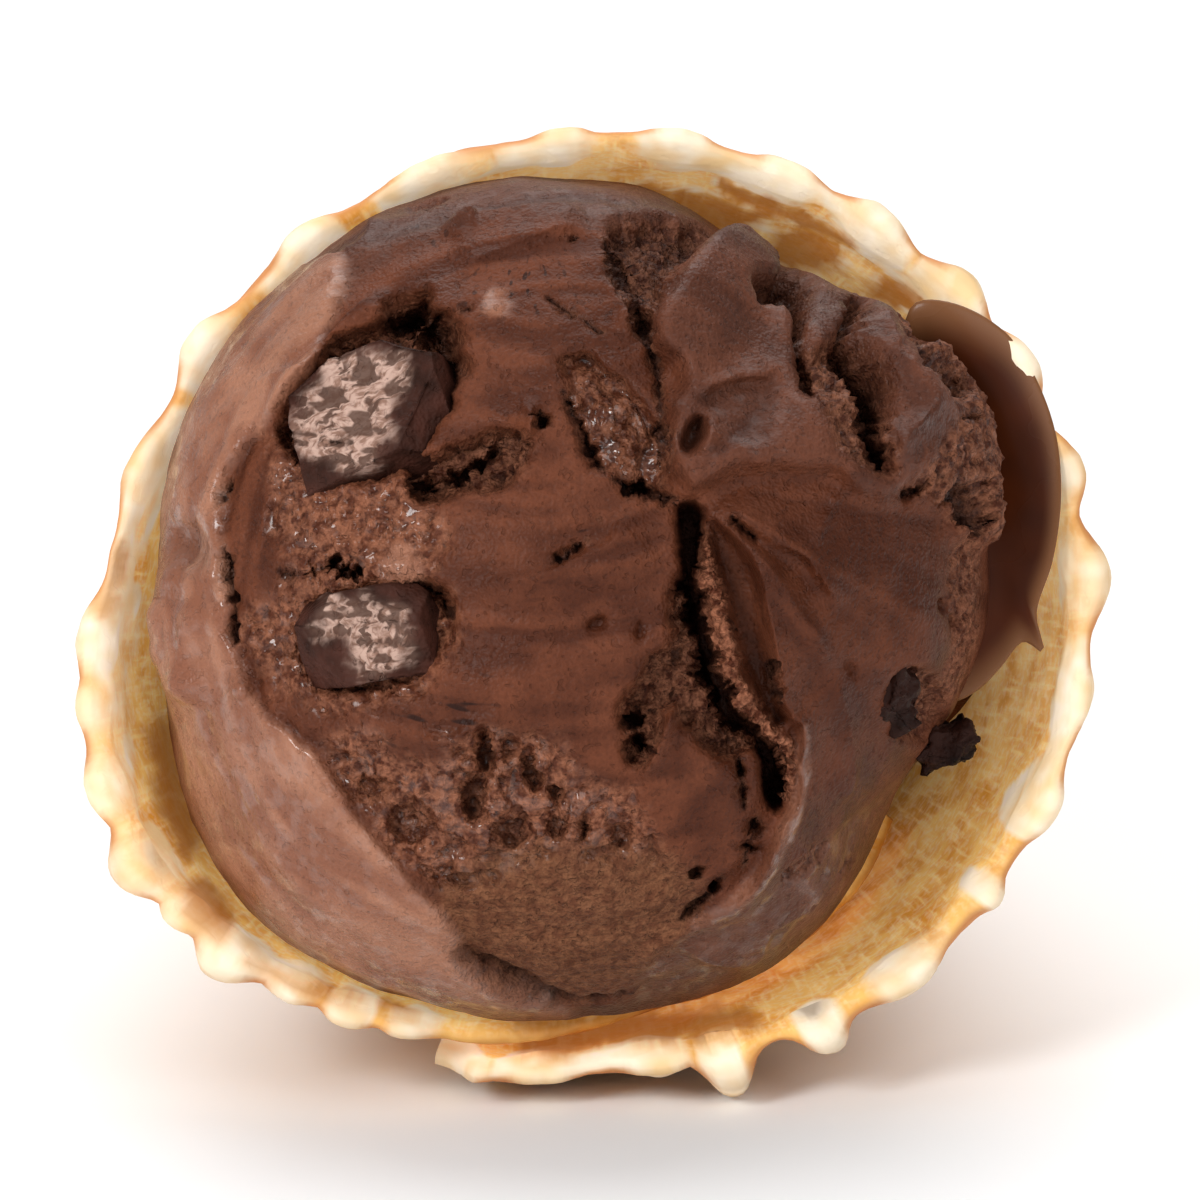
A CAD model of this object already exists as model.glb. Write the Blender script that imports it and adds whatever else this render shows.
"""Chocolate ice cream in a hand-rolled waffle cone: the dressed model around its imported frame.

Shapes are worked out in millimetres in the cone's own frame: the apex is the origin, W runs
along the axis to the mouth, U to the right and V up as seen from the mouth. Places that the
photograph gives are pixels of its 1200 x 1200 frame.
"""

from __future__ import annotations

import logging
import math
from dataclasses import dataclass, fields
from enum import Enum
from typing import ClassVar, Sequence

import bmesh
import bpy
import numpy as np
from mathutils import Matrix, Vector


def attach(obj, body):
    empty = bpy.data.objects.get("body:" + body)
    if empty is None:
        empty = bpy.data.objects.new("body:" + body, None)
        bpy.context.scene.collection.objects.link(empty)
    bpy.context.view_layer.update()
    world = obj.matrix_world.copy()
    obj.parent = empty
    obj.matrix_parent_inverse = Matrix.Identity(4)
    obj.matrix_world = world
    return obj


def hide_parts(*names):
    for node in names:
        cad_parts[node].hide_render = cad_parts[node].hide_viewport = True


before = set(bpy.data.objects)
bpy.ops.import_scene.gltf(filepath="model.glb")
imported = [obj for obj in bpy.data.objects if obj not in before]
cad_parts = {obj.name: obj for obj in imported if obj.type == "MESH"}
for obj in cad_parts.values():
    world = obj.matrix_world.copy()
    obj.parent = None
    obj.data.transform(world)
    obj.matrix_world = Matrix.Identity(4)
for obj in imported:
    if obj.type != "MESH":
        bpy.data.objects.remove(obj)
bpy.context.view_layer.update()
LOG = logging.getLogger("ice cream cone")

Array = np.ndarray
Route = Sequence[tuple[float, float]]
MM = 0.001


@dataclass(frozen=True)
class RestPose:
    """How the cone lies: its axis rises by `tilt` degrees from the apex to the mouth."""

    tilt: float = 12.5
    apex: tuple[float, float, float] = (0.2, 85.7, 3.9)

    def matrix(self) -> Matrix:
        """Return the turn from the cone's frame to the world."""
        return Matrix.Rotation(math.radians(90.0 - self.tilt), 4, "X")

    def to_world(self, points: Array) -> Array:
        """Place points of the cone's frame in the world.

        Args:
            points: Places in millimetres, one row each.

        Returns:
            The same places in metres in the world.
        """
        turn = np.array(self.matrix().to_3x3())
        return (points @ turn.T + np.array(self.apex)) * MM


@dataclass(frozen=True)
class Photograph:
    """The view down the axis: which pixel shows which place."""

    axis: tuple[float, float] = (597.0, 608.0)
    scale: float = 0.0725
    distance: float = 480.0
    rim_level: float = 146.7
    side: float = 1200.0

    def seen(self, points: Array) -> Array:
        """Project points onto the rim's plane.

        Args:
            points: Places in the cone's frame.

        Returns:
            Millimetres to the right and up in the plane of the rim.
        """
        nearer = self.distance / (self.distance - (points[:, 2] - self.rim_level))
        return points[:, :2] * nearer[:, None]

    def plane(self, pixels: Route) -> Array:
        """Turn pixels into millimetres in the plane of the rim."""
        spots = np.array(pixels, float)
        return np.stack([spots[:, 0] - self.axis[0], self.axis[1] - spots[:, 1]], 1) * self.scale

    def offsets(self, seen: Array, pixel: tuple[float, float]) -> Array:
        """Return how far places of the rim's plane lie from a pixel."""
        return seen - self.plane([pixel])[0]


POSE = RestPose()
PHOTO = Photograph()


def smoothstep(low: float, high: float, value: Array) -> Array:
    """Rise smoothly from 0 at `low` to 1 at `high`."""
    part = np.clip((value - low) / (high - low), 0.0, 1.0)
    return part * part * (3.0 - 2.0 * part)


def bell(angle: Array, at: float, width: float) -> Array:
    """Return one at the clock angle `at`, fading over `width` degrees either side."""
    gap = (angle - at + 180.0) % 360.0 - 180.0
    return np.exp(-((gap / width) ** 2))


def swell(angle: Array, swells: Sequence[tuple[float, float, float]]) -> Array:
    """Return the share by which a round outline stands out at each clock angle."""
    return 1.0 + sum(share * bell(angle, at, width) for at, width, share in swells)


def polar(offsets: Array) -> tuple[Array, Array]:
    """Return how far out each offset reaches, and its bearing in radians."""
    return np.linalg.norm(offsets, axis=1), np.arctan2(offsets[:, 1], offsets[:, 0])


def clock_of(points: Array) -> Array:
    """Return the clock angle of each point round the axis, in degrees."""
    return np.degrees(np.arctan2(points[:, 1], points[:, 0]))


def flat_places(seen: Array) -> Array:
    """Give places of the rim's plane a third coordinate of zero."""
    return np.column_stack([seen, np.zeros(len(seen))])


def scatter(cell: Array, seed: int) -> Array:
    """Return a repeatable random share for each whole-numbered cell."""
    across, up, along = (cell[..., axis].astype(np.int64) for axis in range(3))
    mixed = (across * 374761393 + up * 668265263 + along * 1440662683 + seed * 974634777) & 0xFFFFFFFF
    mixed = ((mixed ^ (mixed >> 13)) * 1274126177) & 0xFFFFFFFF
    return ((mixed ^ (mixed >> 16)) & 0xFFFFFF) / float(0xFFFFFF)


def soft_noise(points: Array, size: float, seed: int) -> Array:
    """Return smooth noise from -1 to 1 with lumps about `size` millimetres wide."""
    scaled = points / size + seed * 7.31
    cell = np.floor(scaled)
    part = scaled - cell
    ease = part**3 * (part * (part * 6.0 - 15.0) + 10.0)
    total = np.zeros(len(points))
    for corner in np.ndindex(2, 2, 2):
        weight = np.prod(np.where(np.array(corner), ease, 1.0 - ease), axis=1)
        total += weight * scatter(cell + np.array(corner), seed)
    return total * 2.0 - 1.0


def noise_along(first: Array, second: Array, seed: int) -> Array:
    """Return smooth noise whose lumps are one unit long on each of two courses."""
    return soft_noise(np.stack([first, second, np.zeros(len(first))], 1), size=1.0, seed=seed)


def fractal(points: Array, size: float, octaves: int, seed: int) -> Array:
    """Return noise with finer and finer lumps added, about -1 to 1."""
    total, share = np.zeros(len(points)), 0.0
    for octave in range(octaves):
        weight = 0.55**octave
        total += weight * soft_noise(points, size * 0.5**octave, seed + octave)
        share += weight
    return total / share


def billow(points: Array, size: float, octaves: int, seed: int) -> Array:
    """Return crumbly noise from 0 to 1: rounded clods with sharp creases between them."""
    bend = np.stack([soft_noise(points, size * 0.7, seed + 40 + axis) for axis in range(3)], 1)
    bent = points + 0.22 * size * bend
    total, share = np.zeros(len(points)), 0.0
    for octave in range(octaves):
        weight = 0.72**octave
        total += weight * np.abs(soft_noise(bent, size * 0.52**octave, seed + octave))
        share += weight
    return total / share


def cells(points: Array, size: float, seed: int) -> Array:
    """Return how far each point is from the nearest scattered seed point, as a share of `size`."""
    scaled = points / size
    cell = np.floor(scaled)
    best = np.full(len(points), 9.0)
    for step in np.ndindex(3, 3, 3):
        corner = cell + (np.array(step) - 1)
        spot = corner + np.stack([scatter(corner, seed + axis) for axis in range(3)], 1)
        best = np.minimum(best, np.linalg.norm(scaled - spot, axis=1))
    return best


@dataclass(frozen=True)
class Relief:
    """Fractal noise: its height in millimetres, the size of its lumps, its octaves and its draw."""

    height: float
    size: float
    octaves: int
    seed: int

    def at(self, points: Array) -> Array:
        """Return the height at each place."""
        return self.height * fractal(points, self.size, self.octaves, self.seed)


@dataclass(frozen=True)
class Drag:
    """Lines that a moving scoop leaves: how fine they are in two courses, and their draw."""

    first: float
    second: float
    seed: int

    def lines(self, first: Array, second: Array, wobble: Array | float = 0.0) -> Array:
        """Return the lines from -1 to 1, the first course bent by a wobble."""
        return noise_along(first * self.first + wobble, second * self.second, self.seed)


def curve_through(route: Array, closed: bool, steps: int = 5) -> Array:
    """Return a smooth line through the route's points, `steps` places for each span."""
    count = len(route)
    line = []
    for span in range(count if closed else count - 1):
        picks = range(span - 1, span + 3)
        before, first, second, after = (
            route[pick % count if closed else min(max(pick, 0), count - 1)] for pick in picks
        )
        bend = 2.0 * before - 5.0 * first + 4.0 * second - after
        twist = 3.0 * first - before - 3.0 * second + after
        for step in range(steps):
            t = step / steps
            line.append(0.5 * (2.0 * first + (second - before) * t + bend * t**2 + twist * t**3))
    if not closed:
        line.append(route[-1])
    return np.array(line)


def measure(line: Array, spots: Array) -> tuple[Array, Array, Array]:
    """Measure spots against a line in the plane of the rim.

    Args:
        line: The line's points.
        spots: The places to measure.

    Returns:
        The distance to the line, its side (1 on the left, -1 on the right) and the share of
        the line's length at the nearest place.
    """
    lengths = np.linalg.norm(np.diff(line, axis=0), axis=1)
    run = np.concatenate([[0.0], np.cumsum(lengths)])
    best = np.full(len(spots), 1e9)
    side = np.ones(len(spots))
    along = np.zeros(len(spots))
    for start, end, length, before in zip(line, line[1:], lengths, run):
        course = (end - start) / max(length, 1e-9)
        offset = spots - start
        share = np.clip(offset @ course, 0.0, length)
        gap = np.linalg.norm(offset - share[:, None] * course, axis=1)
        nearer = gap < best
        best = np.where(nearer, gap, best)
        cross = course[0] * offset[:, 1] - course[1] * offset[:, 0]
        side = np.where(nearer, np.where(cross >= 0.0, 1.0, -1.0), side)
        along = np.where(nearer, (before + share) / run[-1], along)
    return best, side, along


def near_line(line: Array, spots: Array, reach: float) -> Array:
    """Return which spots lie within `reach` of the line's own box."""
    low, high = line.min(0) - reach, line.max(0) + reach
    return np.all((spots >= low) & (spots <= high), axis=1)


@dataclass(frozen=True)
class Patch:
    """A region of a surface, outlined as the photograph shows it."""

    name: str
    outline: Route
    soft: float = 1.0
    ragged: float = 0.6

    def cover(self, seen: Array, grain: Array) -> Array:
        """Return how far each place belongs to the region, from 0 to 1."""
        line = curve_through(PHOTO.plane(self.outline), closed=True)
        closed = np.vstack([line, line[:1]])
        picked = near_line(closed, seen, self.soft + self.ragged)
        spots = seen[picked]
        gap, _, _ = measure(closed, spots)
        inside = np.zeros(len(spots), bool)
        for first, second in zip(closed, closed[1:]):
            crosses = (first[1] > spots[:, 1]) != (second[1] > spots[:, 1])
            rise = second[1] - first[1]
            slope = (second[0] - first[0]) / (rise if rise else 1e-9)
            inside ^= crosses & (spots[:, 0] < first[0] + slope * (spots[:, 1] - first[1]))
        depth = np.where(inside, gap, -gap) + self.ragged * grain[picked]
        cover = np.zeros(len(seen))
        cover[picked] = smoothstep(-0.5 * self.soft, 0.5 * self.soft, depth)
        return cover


@dataclass(frozen=True)
class Groove:
    """A crack or furrow along a route: its width, depth and raggedness in millimetres."""

    name: str
    route: Route
    width: float
    depth: float
    ragged: float = 0.35
    least_half: ClassVar[float] = 0.06
    end_share: ClassVar[float] = 0.35
    uneven: ClassVar[Drag] = Drag(3.1, 7.0, 91)

    def carve(self, seen: Array, grain: Array) -> tuple[Array, Array]:
        """Return the height the groove adds, below zero, and how deep in it each place is."""
        height, inside = np.zeros(len(seen)), np.zeros(len(seen))
        line = curve_through(PHOTO.plane(self.route), closed=False)
        picked = near_line(line, seen, 3.0 * self.width + self.ragged)
        gap, _, along = measure(line, seen[picked])
        taper = np.clip(np.minimum(along, 1.0 - along) * 7.0, 0.0, 1.0) ** 0.6
        full = self.end_share + (1.0 - self.end_share) * taper
        uneven = self.uneven.lines(along * len(self.route), np.full(len(along), self.width))
        half = 0.5 * self.width * full * (1.0 + 0.7 * uneven)
        half = np.maximum(half + 1.5 * self.ragged * grain[picked], self.least_half)
        share = np.clip(1.0 - (gap / half) ** 2.0, 0.0, 1.0)
        height[picked] = -self.depth * share * full * np.clip(half / self.width * 2.2, 0.3, 1.0)
        inside[picked] = share
        return height, inside


@dataclass(frozen=True)
class Ridge:
    """A raised lip along a route, steep on the side with the shorter reach."""

    name: str
    route: Route
    height: float
    left: float
    right: float
    ragged: float = 0.15

    def raise_lip(self, seen: Array, grain: Array) -> Array:
        """Return the height that the lip adds."""
        height = np.zeros(len(seen))
        line = curve_through(PHOTO.plane(self.route), closed=False)
        picked = near_line(line, seen, 3.0 * max(self.left, self.right))
        gap, side, along = measure(line, seen[picked])
        taper = np.clip(np.minimum(along, 1.0 - along) * 6.0, 0.0, 1.0)
        gap = np.abs(gap * side + self.ragged * grain[picked])
        reach = np.where(side > 0.0, self.left, self.right)
        height[picked] = self.height * taper * np.exp(-((gap / reach) ** 1.4))
        return height


@dataclass(frozen=True)
class Dent:
    """A rounded mound, or a pit where its height is below zero."""

    name: str
    place: tuple[float, float]
    half: tuple[float, float]
    turn: float
    height: float
    sharp: float = 1.5

    def press(self, seen: Array, grain: Array) -> Array:
        """Return the height that the mound or pit adds."""
        offset = PHOTO.offsets(seen, self.place)
        cos, sin = math.cos(math.radians(self.turn)), math.sin(math.radians(self.turn))
        along = (offset[:, 0] * cos + offset[:, 1] * sin) / self.half[0]
        beside = (offset[:, 1] * cos - offset[:, 0] * sin) / self.half[1]
        spread = (along**2 + beside**2) * (1.0 + 0.25 * grain)
        return self.height * np.exp(-np.maximum(spread, 0.0) ** self.sharp)


@dataclass(frozen=True)
class Roll:
    """The sheet's way round the cone, as the solid frame has it."""

    half_angle: float = 12.0
    slant: float = 150.0
    tip_slant: float = 9.0
    wrap: float = 432.0
    outer_end: float = -107.7
    layer: float = 2.8
    sheet: float = 1.6
    ridge: float = 0.8
    pitch: float = 8.0
    ridge_half: tuple[float, float] = (0.7, 2.4)
    grain: float = 58.0
    flap_dip: float = 24.0
    tip_squeeze: float = 0.75
    squeeze_end: float = 60.0
    flap_clear: float = 8.0
    swells: tuple[tuple[float, float, float], ...] = (
        (204.0, 32.0, 0.10),
        (-82.0, 25.0, -0.07),
        (5.0, 30.0, 0.03),
    )
    rim_rise: tuple[float, float, float] = (204.0, 30.0, 6.0)
    rim_wave: float = 0.7

    def squeeze(self, slant: Array) -> Array:
        """Return how far the layers are pressed together, most at the tip."""
        return self.tip_squeeze + (1.0 - self.tip_squeeze) * smoothstep(0.0, self.squeeze_end, slant)

    @property
    def overlap(self) -> float:
        """Degrees by which the sheet's outer end laps over its start."""
        return self.wrap - 360.0

    def clock(self, turn: Array | float) -> Array | float:
        """Return the clock angle of a turn; the same sum gives the turn of a clock angle."""
        return self.outer_end + self.wrap - turn

    def place(self, slant: Array, turn: Array, height: Array) -> Array:
        """Roll places of the flat sheet onto the cone.

        Args:
            slant: Distance from the apex along the sheet.
            turn: Degrees round the roll from its inner end.
            height: Height above the sheet's inner face.

        Returns:
            Places in the cone's frame.
        """
        clock = self.clock(turn)
        out = self.squeeze(slant) * (self.layer * turn / 360.0 + height)
        half = math.radians(self.half_angle)
        radius = slant * math.sin(half) * swell(clock, self.swells) + out * math.cos(half)
        around = np.radians(clock)
        level = slant * math.cos(half) - out * math.sin(half)
        return np.stack([radius * np.cos(around), radius * np.sin(around), level], 1)

    def rim_slant(self, turn: Array) -> Array:
        """Return how far the sheet reaches at each turn, without its beads."""
        dip = self.flap_dip * np.maximum(0.0, 1.0 - turn / self.overlap) ** 1.5
        at, width, rise = self.rim_rise
        wave = self.rim_wave * noise_along(turn * 0.11, turn * 0.0, seed=3)
        return self.slant + rise * bell(self.clock(turn), at, width) + wave - dip

    def outer_turn(self, clock: float) -> float:
        """Return the turn of the outermost layer at a clock angle."""
        return (self.clock(clock) - self.overlap) % 360.0 + self.overlap

    def free_radius(self, clock: Array, level: Array, gap: float) -> Array:
        """Return the radius inside the roll at a level, less a gap."""
        turn = self.clock(clock) % 360.0
        half = math.radians(self.half_angle)
        slant = level / math.cos(half)
        ends = np.minimum(1.0, (360.0 - turn) / (2.0 * self.flap_clear))
        spiral = self.squeeze(slant) * self.layer * np.maximum(turn - self.flap_clear, 0.0) * ends / 360.0
        return slant * math.sin(half) * swell(clock, self.swells) + spiral * math.cos(half) - gap


ROLL = Roll()


def link(name: str, data: bpy.types.ID) -> bpy.types.Object:
    """Make an object of some data and link it to the scene."""
    made = bpy.data.objects.new(name, data)
    bpy.context.scene.collection.objects.link(made)
    return made


def to_mesh(bm: bmesh.types.BMesh, name: str) -> bpy.types.Mesh:
    """Turn an edited mesh into a new one of Blender's, and free it."""
    mesh = bpy.data.meshes.new(name)
    bm.to_mesh(mesh)
    bm.free()
    return mesh


def finish_mesh(mesh: bpy.types.Mesh, points: Array, name: str, paint: dict[str, Array]) -> bpy.types.Object:
    """Place a mesh in the world and link it.

    Args:
        mesh: The mesh.
        points: Its vertices' places in the cone's frame.
        name: The object's name.
        paint: Values for each vertex, kept as attributes that the materials read.

    Returns:
        The object.
    """
    placed = POSE.to_world(points)
    placed[:, 2] = np.maximum(placed[:, 2], 0.0)
    mesh.vertices.foreach_set("co", placed.ravel())
    for label, values in paint.items():
        layer = mesh.attributes.new(label, "FLOAT", "POINT")
        layer.data.foreach_set("value", values.astype(np.float32))
    mesh.update()
    mesh.shade_smooth()
    return link(name, mesh)


def coordinates(bm: bmesh.types.BMesh) -> Array:
    """Return every vertex's place as rows."""
    bm.verts.ensure_lookup_table()
    bm.verts.index_update()
    return np.array([vert.co[:] for vert in bm.verts])


def split_edges(bm: bmesh.types.BMesh, wanted: Array, most: int) -> None:
    """Halve every edge with a wanted vertex at both ends.

    Args:
        bm: The mesh.
        wanted: True for each vertex where the mesh is to be finer.
        most: The most corners a face may keep. Faces with more are cut to triangles.
    """
    chosen = [edge for edge in bm.edges if wanted[edge.verts[0].index] and wanted[edge.verts[1].index]]
    bmesh.ops.subdivide_edges(bm, edges=chosen, cuts=1, use_grid_fill=True)
    bmesh.ops.triangulate(bm, faces=[face for face in bm.faces if len(face.verts) > most])


def linear(red: int, green: int, blue: int) -> tuple[float, float, float]:
    """Turn a colour as a screen shows it, 0 to 255, into the shader's values."""
    shares = (red / 255.0, green / 255.0, blue / 255.0)
    return tuple(s / 12.92 if s <= 0.04045 else ((s + 0.055) / 1.055) ** 2.4 for s in shares)


@dataclass(frozen=True)
class Region(Patch):
    """A patch of the ice cream with its own height and shares of each kind of surface."""

    lift: float = 0.0
    torn: float = 0.0
    melt: float = 0.0
    grey: float = 0.0
    sandy: float = 0.0
    deep: float = 0.0
    wet: float = 0.0


# Traced in the photograph; heights and widths are in millimetres, and the rest are shares.
REGIONS = (
    Region(
        "melted band on the left", soft=0.9, ragged=0.35, lift=0.9, melt=1.0, wet=0.75,
        outline=(
            (348, 262), (318, 355), (262, 425), (226, 480), (226, 544), (234, 600), (236, 645), (264, 711),
            (318, 757), (375, 841), (452, 925), (462, 962), (509, 994), (551, 1005), (600, 1060),
            (420, 1090), (180, 980), (60, 780), (60, 560), (120, 400), (240, 300),
        ),
    ),
    Region(
        "folded lobe", soft=2.0, ragged=0.2, lift=2.7, grey=0.35, wet=0.16,
        outline=(
            (654, 325), (658, 307), (676, 282), (704, 254), (729, 246), (776, 253), (819, 273), (854, 282),
            (890, 296), (919, 307), (945, 325), (1001, 358), (985, 386), (986, 440), (987, 493), (983, 534),
            (965, 541), (951, 537), (933, 507), (904, 492), (883, 500), (854, 488), (836, 471), (804, 467),
            (765, 464), (729, 472), (697, 489), (683, 479), (672, 457), (665, 439), (672, 421), (670, 404),
            (681, 386), (679, 364), (661, 346),
        ),
    ),
    Region(
        "torn slope in the lobe", soft=1.0, ragged=0.5, lift=-1.3, torn=0.9, deep=0.42,
        outline=(
            (793, 364), (805, 395), (824, 405), (833, 438), (848, 457), (885, 478), (888, 468), (880, 440),
            (872, 405), (855, 378), (838, 360), (826, 352), (812, 358),
        ),
    ),
    Region(
        "torn hollow beside the crack", soft=1.0, ragged=0.5, lift=-2.8, torn=1.0, deep=0.5,
        outline=(
            (679, 580), (670, 599), (671, 617), (669, 635), (655, 654), (644, 667), (639, 684), (624, 700),
            (620, 713), (625, 727), (632, 729), (623, 743), (625, 757), (639, 766), (646, 762), (660, 739),
            (664, 713), (676, 706), (680, 725), (696, 725), (701, 743), (724, 755), (752, 748), (747, 736),
            (729, 725), (712, 690), (704, 660), (696, 628), (690, 600),
        ),
    ),
    Region(
        "pocket of the upper chunk", soft=0.9, ragged=0.4, lift=-3.0, torn=0.9, deep=0.6,
        outline=(
            (331, 345), (372, 326), (406, 306), (434, 308), (450, 340), (452, 380), (434, 420), (412, 462),
            (366, 480), (322, 472), (288, 452), (280, 428), (300, 398), (318, 372),
        ),
    ),
    Region(
        "pocket of the lower chunk", soft=1.3, ragged=0.5, lift=-1.1, torn=1.0, deep=0.15,
        outline=(
            (300, 610), (330, 592), (380, 590), (425, 584), (450, 600), (446, 640), (420, 672), (380, 690),
            (330, 694), (298, 670),
        ),
    ),
    Region(
        "torn zone round the chunks", soft=2.0, ragged=2.2, lift=-0.5, torn=0.66, wet=0.55,
        outline=(
            (262, 452), (300, 462), (360, 482), (410, 470), (420, 500), (456, 520), (440, 560), (420, 580),
            (452, 600), (455, 640), (420, 690), (370, 700), (318, 705), (268, 690), (240, 640), (252, 600),
            (290, 575), (270, 520),
        ),
    ),
    Region(
        "hollow under the middle", soft=1.0, ragged=0.5, lift=-2.8, torn=0.9, deep=0.55,
        outline=(
            (406, 462), (440, 452), (470, 440), (500, 430), (528, 436), (530, 455), (513, 480), (470, 492),
            (436, 500), (414, 500),
        ),
    ),
    Region(
        "torn furrow left of the lobe", soft=1.2, ragged=0.6, lift=-2.0, torn=0.65, deep=0.22, wet=1.0,
        outline=(
            (560, 362), (590, 358), (640, 395), (668, 440), (662, 485), (640, 496), (606, 474), (586, 452),
            (574, 410),
        ),
    ),
    Region(
        "darker piece on the right", soft=3.0, ragged=0.4, deep=0.16,
        outline=(
            (705, 505), (765, 472), (836, 478), (900, 502), (950, 542), (970, 600), (965, 680), (930, 740),
            (880, 810), (800, 860), (790, 800), (800, 740), (760, 640), (718, 560),
        ),
    ),
    Region(
        "pocket of the side chunk", soft=0.8, ragged=0.5, lift=-1.4, torn=0.9, deep=0.4,
        outline=(
            (884, 700), (892, 676), (915, 668), (938, 684), (940, 716), (920, 736), (894, 730),
        ),
    ),
    Region(
        "dark recess above the lobe", soft=1.2, ragged=0.7, lift=-2.0, torn=1.0, grey=0.5, deep=0.74,
        outline=(
            (610, 232), (650, 222), (700, 226), (735, 242), (706, 256), (676, 272), (655, 300), (650, 335),
            (630, 320), (620, 280),
        ),
    ),
    Region(
        "torn right end of the lobe", soft=1.2, ragged=0.7, lift=-0.5, torn=0.85, deep=0.15,
        outline=(
            (872, 325), (930, 330), (1001, 361), (985, 386), (987, 493), (983, 534), (951, 539), (928, 505),
            (900, 492), (915, 462), (930, 428), (905, 400), (886, 362),
        ),
    ),
    Region(
        "crumbly edge of the crack", soft=0.7, ragged=0.35, lift=0.35, torn=0.95,
        outline=(
            (706, 530), (719, 578), (725, 599), (726, 619), (733, 640), (737, 654), (738, 672), (747, 684),
            (758, 700), (770, 718), (784, 736), (793, 746), (797, 769), (795, 791), (788, 803), (781, 791),
            (780, 768), (770, 748), (754, 729), (731, 706), (729, 690), (715, 667), (717, 654), (711, 644),
            (707, 626), (702, 608), (704, 594), (693, 585), (698, 566), (702, 539),
        ),
    ),
    Region(
        "crumbly right edge", soft=1.0, ragged=0.6, lift=-0.3, torn=0.7,
        outline=(
            (951, 538), (968, 540), (975, 600), (972, 660), (955, 700), (940, 690), (946, 640), (942, 590),
        ),
    ),
    Region(
        "torn zone at the lower left", soft=1.8, ragged=1.8, lift=-0.6, torn=0.7, wet=0.7,
        outline=(
            (318, 748), (360, 735), (420, 760), (470, 735), (540, 740), (600, 780), (640, 800), (650, 860),
            (560, 850), (480, 880), (430, 890), (392, 850), (352, 800),
        ),
    ),
    Region(
        "sandy zone at the bottom", soft=2.4, ragged=0.8, lift=-0.5, torn=0.1, sandy=1.0,
        outline=(
            (440, 890), (500, 850), (580, 845), (660, 850), (700, 880), (690, 930), (650, 985), (590, 1010),
            (520, 1000), (460, 960),
        ),
    ),
    Region(
        "melted foot at the lower right", soft=1.2, ragged=0.5, lift=-0.5, melt=0.2, grey=0.35, deep=0.05,
        wet=0.5,
        outline=(
            (640, 990), (690, 935), (740, 905), (800, 860), (880, 800), (930, 760), (930, 830), (880, 900),
            (800, 980), (700, 1020), (650, 1020),
        ),
    ),
    Region(
        "dragged band along the top", soft=1.5, ragged=0.4, lift=0.2, grey=0.6, deep=0.12, wet=0.12,
        outline=(
            (260, 320), (330, 240), (400, 200), (520, 160), (640, 180), (735, 236), (700, 228), (650, 222),
            (600, 232), (520, 222), (440, 238), (380, 262), (330, 320), (280, 380),
        ),
    ),
    Region(
        "blade beside the crack", soft=0.7, ragged=0.06, lift=-1.7, deep=0.26,
        outline=(
            (710, 525), (729, 534), (747, 555), (758, 578), (764, 608), (770, 635), (775, 665), (780, 700),
            (788, 716), (778, 722), (768, 712), (749, 684), (738, 672), (735, 645), (728, 625), (726, 599),
            (719, 578),
        ),
    ),
    Region(
        "plate beside the crack", soft=0.9, ragged=0.5, lift=0.5,
        outline=(
            (650, 765), (690, 748), (728, 768), (752, 800), (748, 850), (720, 880), (680, 880), (648, 850),
            (636, 800),
        ),
    ),
    Region(
        "main crack", soft=0.7, ragged=0.3, lift=-5.5, torn=0.4, deep=1.0,
        outline=(
            (679, 509), (680, 543), (681, 569), (677, 585), (686, 599), (685, 612), (691, 631), (696, 654),
            (696, 672), (706, 686), (715, 706), (729, 727), (747, 734), (758, 755), (761, 775), (765, 796),
            (775, 808), (784, 801), (786, 791), (784, 778), (781, 766), (772, 748), (765, 739), (758, 729),
            (747, 718), (735, 706), (733, 690), (729, 681), (719, 667), (721, 654), (715, 644), (711, 626),
            (706, 608), (708, 594), (695, 585), (701, 566), (701, 550), (704, 527), (701, 508), (690, 503),
        ),
    ),
    Region(
        "middle crevice of the lobe", soft=0.8, ragged=0.35, lift=-3.0, torn=0.5, deep=0.85,
        outline=(
            (825, 353), (838, 355), (857, 369), (874, 390), (878, 409), (874, 428), (876, 447), (888, 475),
            (878, 473), (867, 461), (859, 438), (852, 409), (843, 386), (829, 372),
        ),
    ),
    Region(
        "right crevice of the lobe", soft=0.8, ragged=0.3, lift=-2.6, torn=0.5, deep=0.8,
        outline=(
            (900, 372), (907, 369), (921, 376), (944, 390), (947, 402), (928, 409), (916, 400), (904, 386),
        ),
    ),
    Region(
        "hole over the right crevice", soft=0.8, ragged=0.3, lift=-1.6, torn=0.9, deep=0.55,
        outline=(
            (892, 339), (907, 334), (921, 343), (918, 357), (902, 362), (890, 353),
        ),
    ),
    Region(
        "crevice near the lobe's top", soft=0.8, ragged=0.2, lift=-3.0, torn=0.4, deep=0.8,
        outline=(
            (766, 280), (772, 280), (782, 291), (793, 308), (793, 320), (791, 331), (793, 343), (803, 376),
            (810, 395), (803, 393), (793, 367), (786, 348), (784, 334), (772, 322), (760, 317), (746, 308),
            (741, 298), (763, 298), (764, 289),
        ),
    ),
    Region(
        "dull pocket in the lobe", soft=1.2, ragged=0.2, lift=-0.7, deep=0.42,
        outline=(
            (708, 393), (718, 388), (741, 383), (772, 381), (777, 395), (772, 419), (763, 440), (734, 438),
            (713, 414), (701, 400),
        ),
    ),
    Region(
        "shade over the bottom lip", soft=1.0, ragged=0.3, lift=-0.8, torn=0.6, deep=0.75,
        outline=(
            (455, 954), (470, 959), (494, 969), (518, 981), (542, 993), (562, 1003), (557, 1010),
            (533, 1003), (508, 990), (484, 978), (465, 969),
        ),
    ),
    Region(
        "pale crumbs between the chunks", soft=0.9, ragged=1.1, torn=0.6, melt=0.95,
        outline=(
            (385, 560), (396, 545), (412, 548), (420, 565), (415, 590), (400, 602), (388, 585),
        ),
    ),
    Region(
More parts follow.
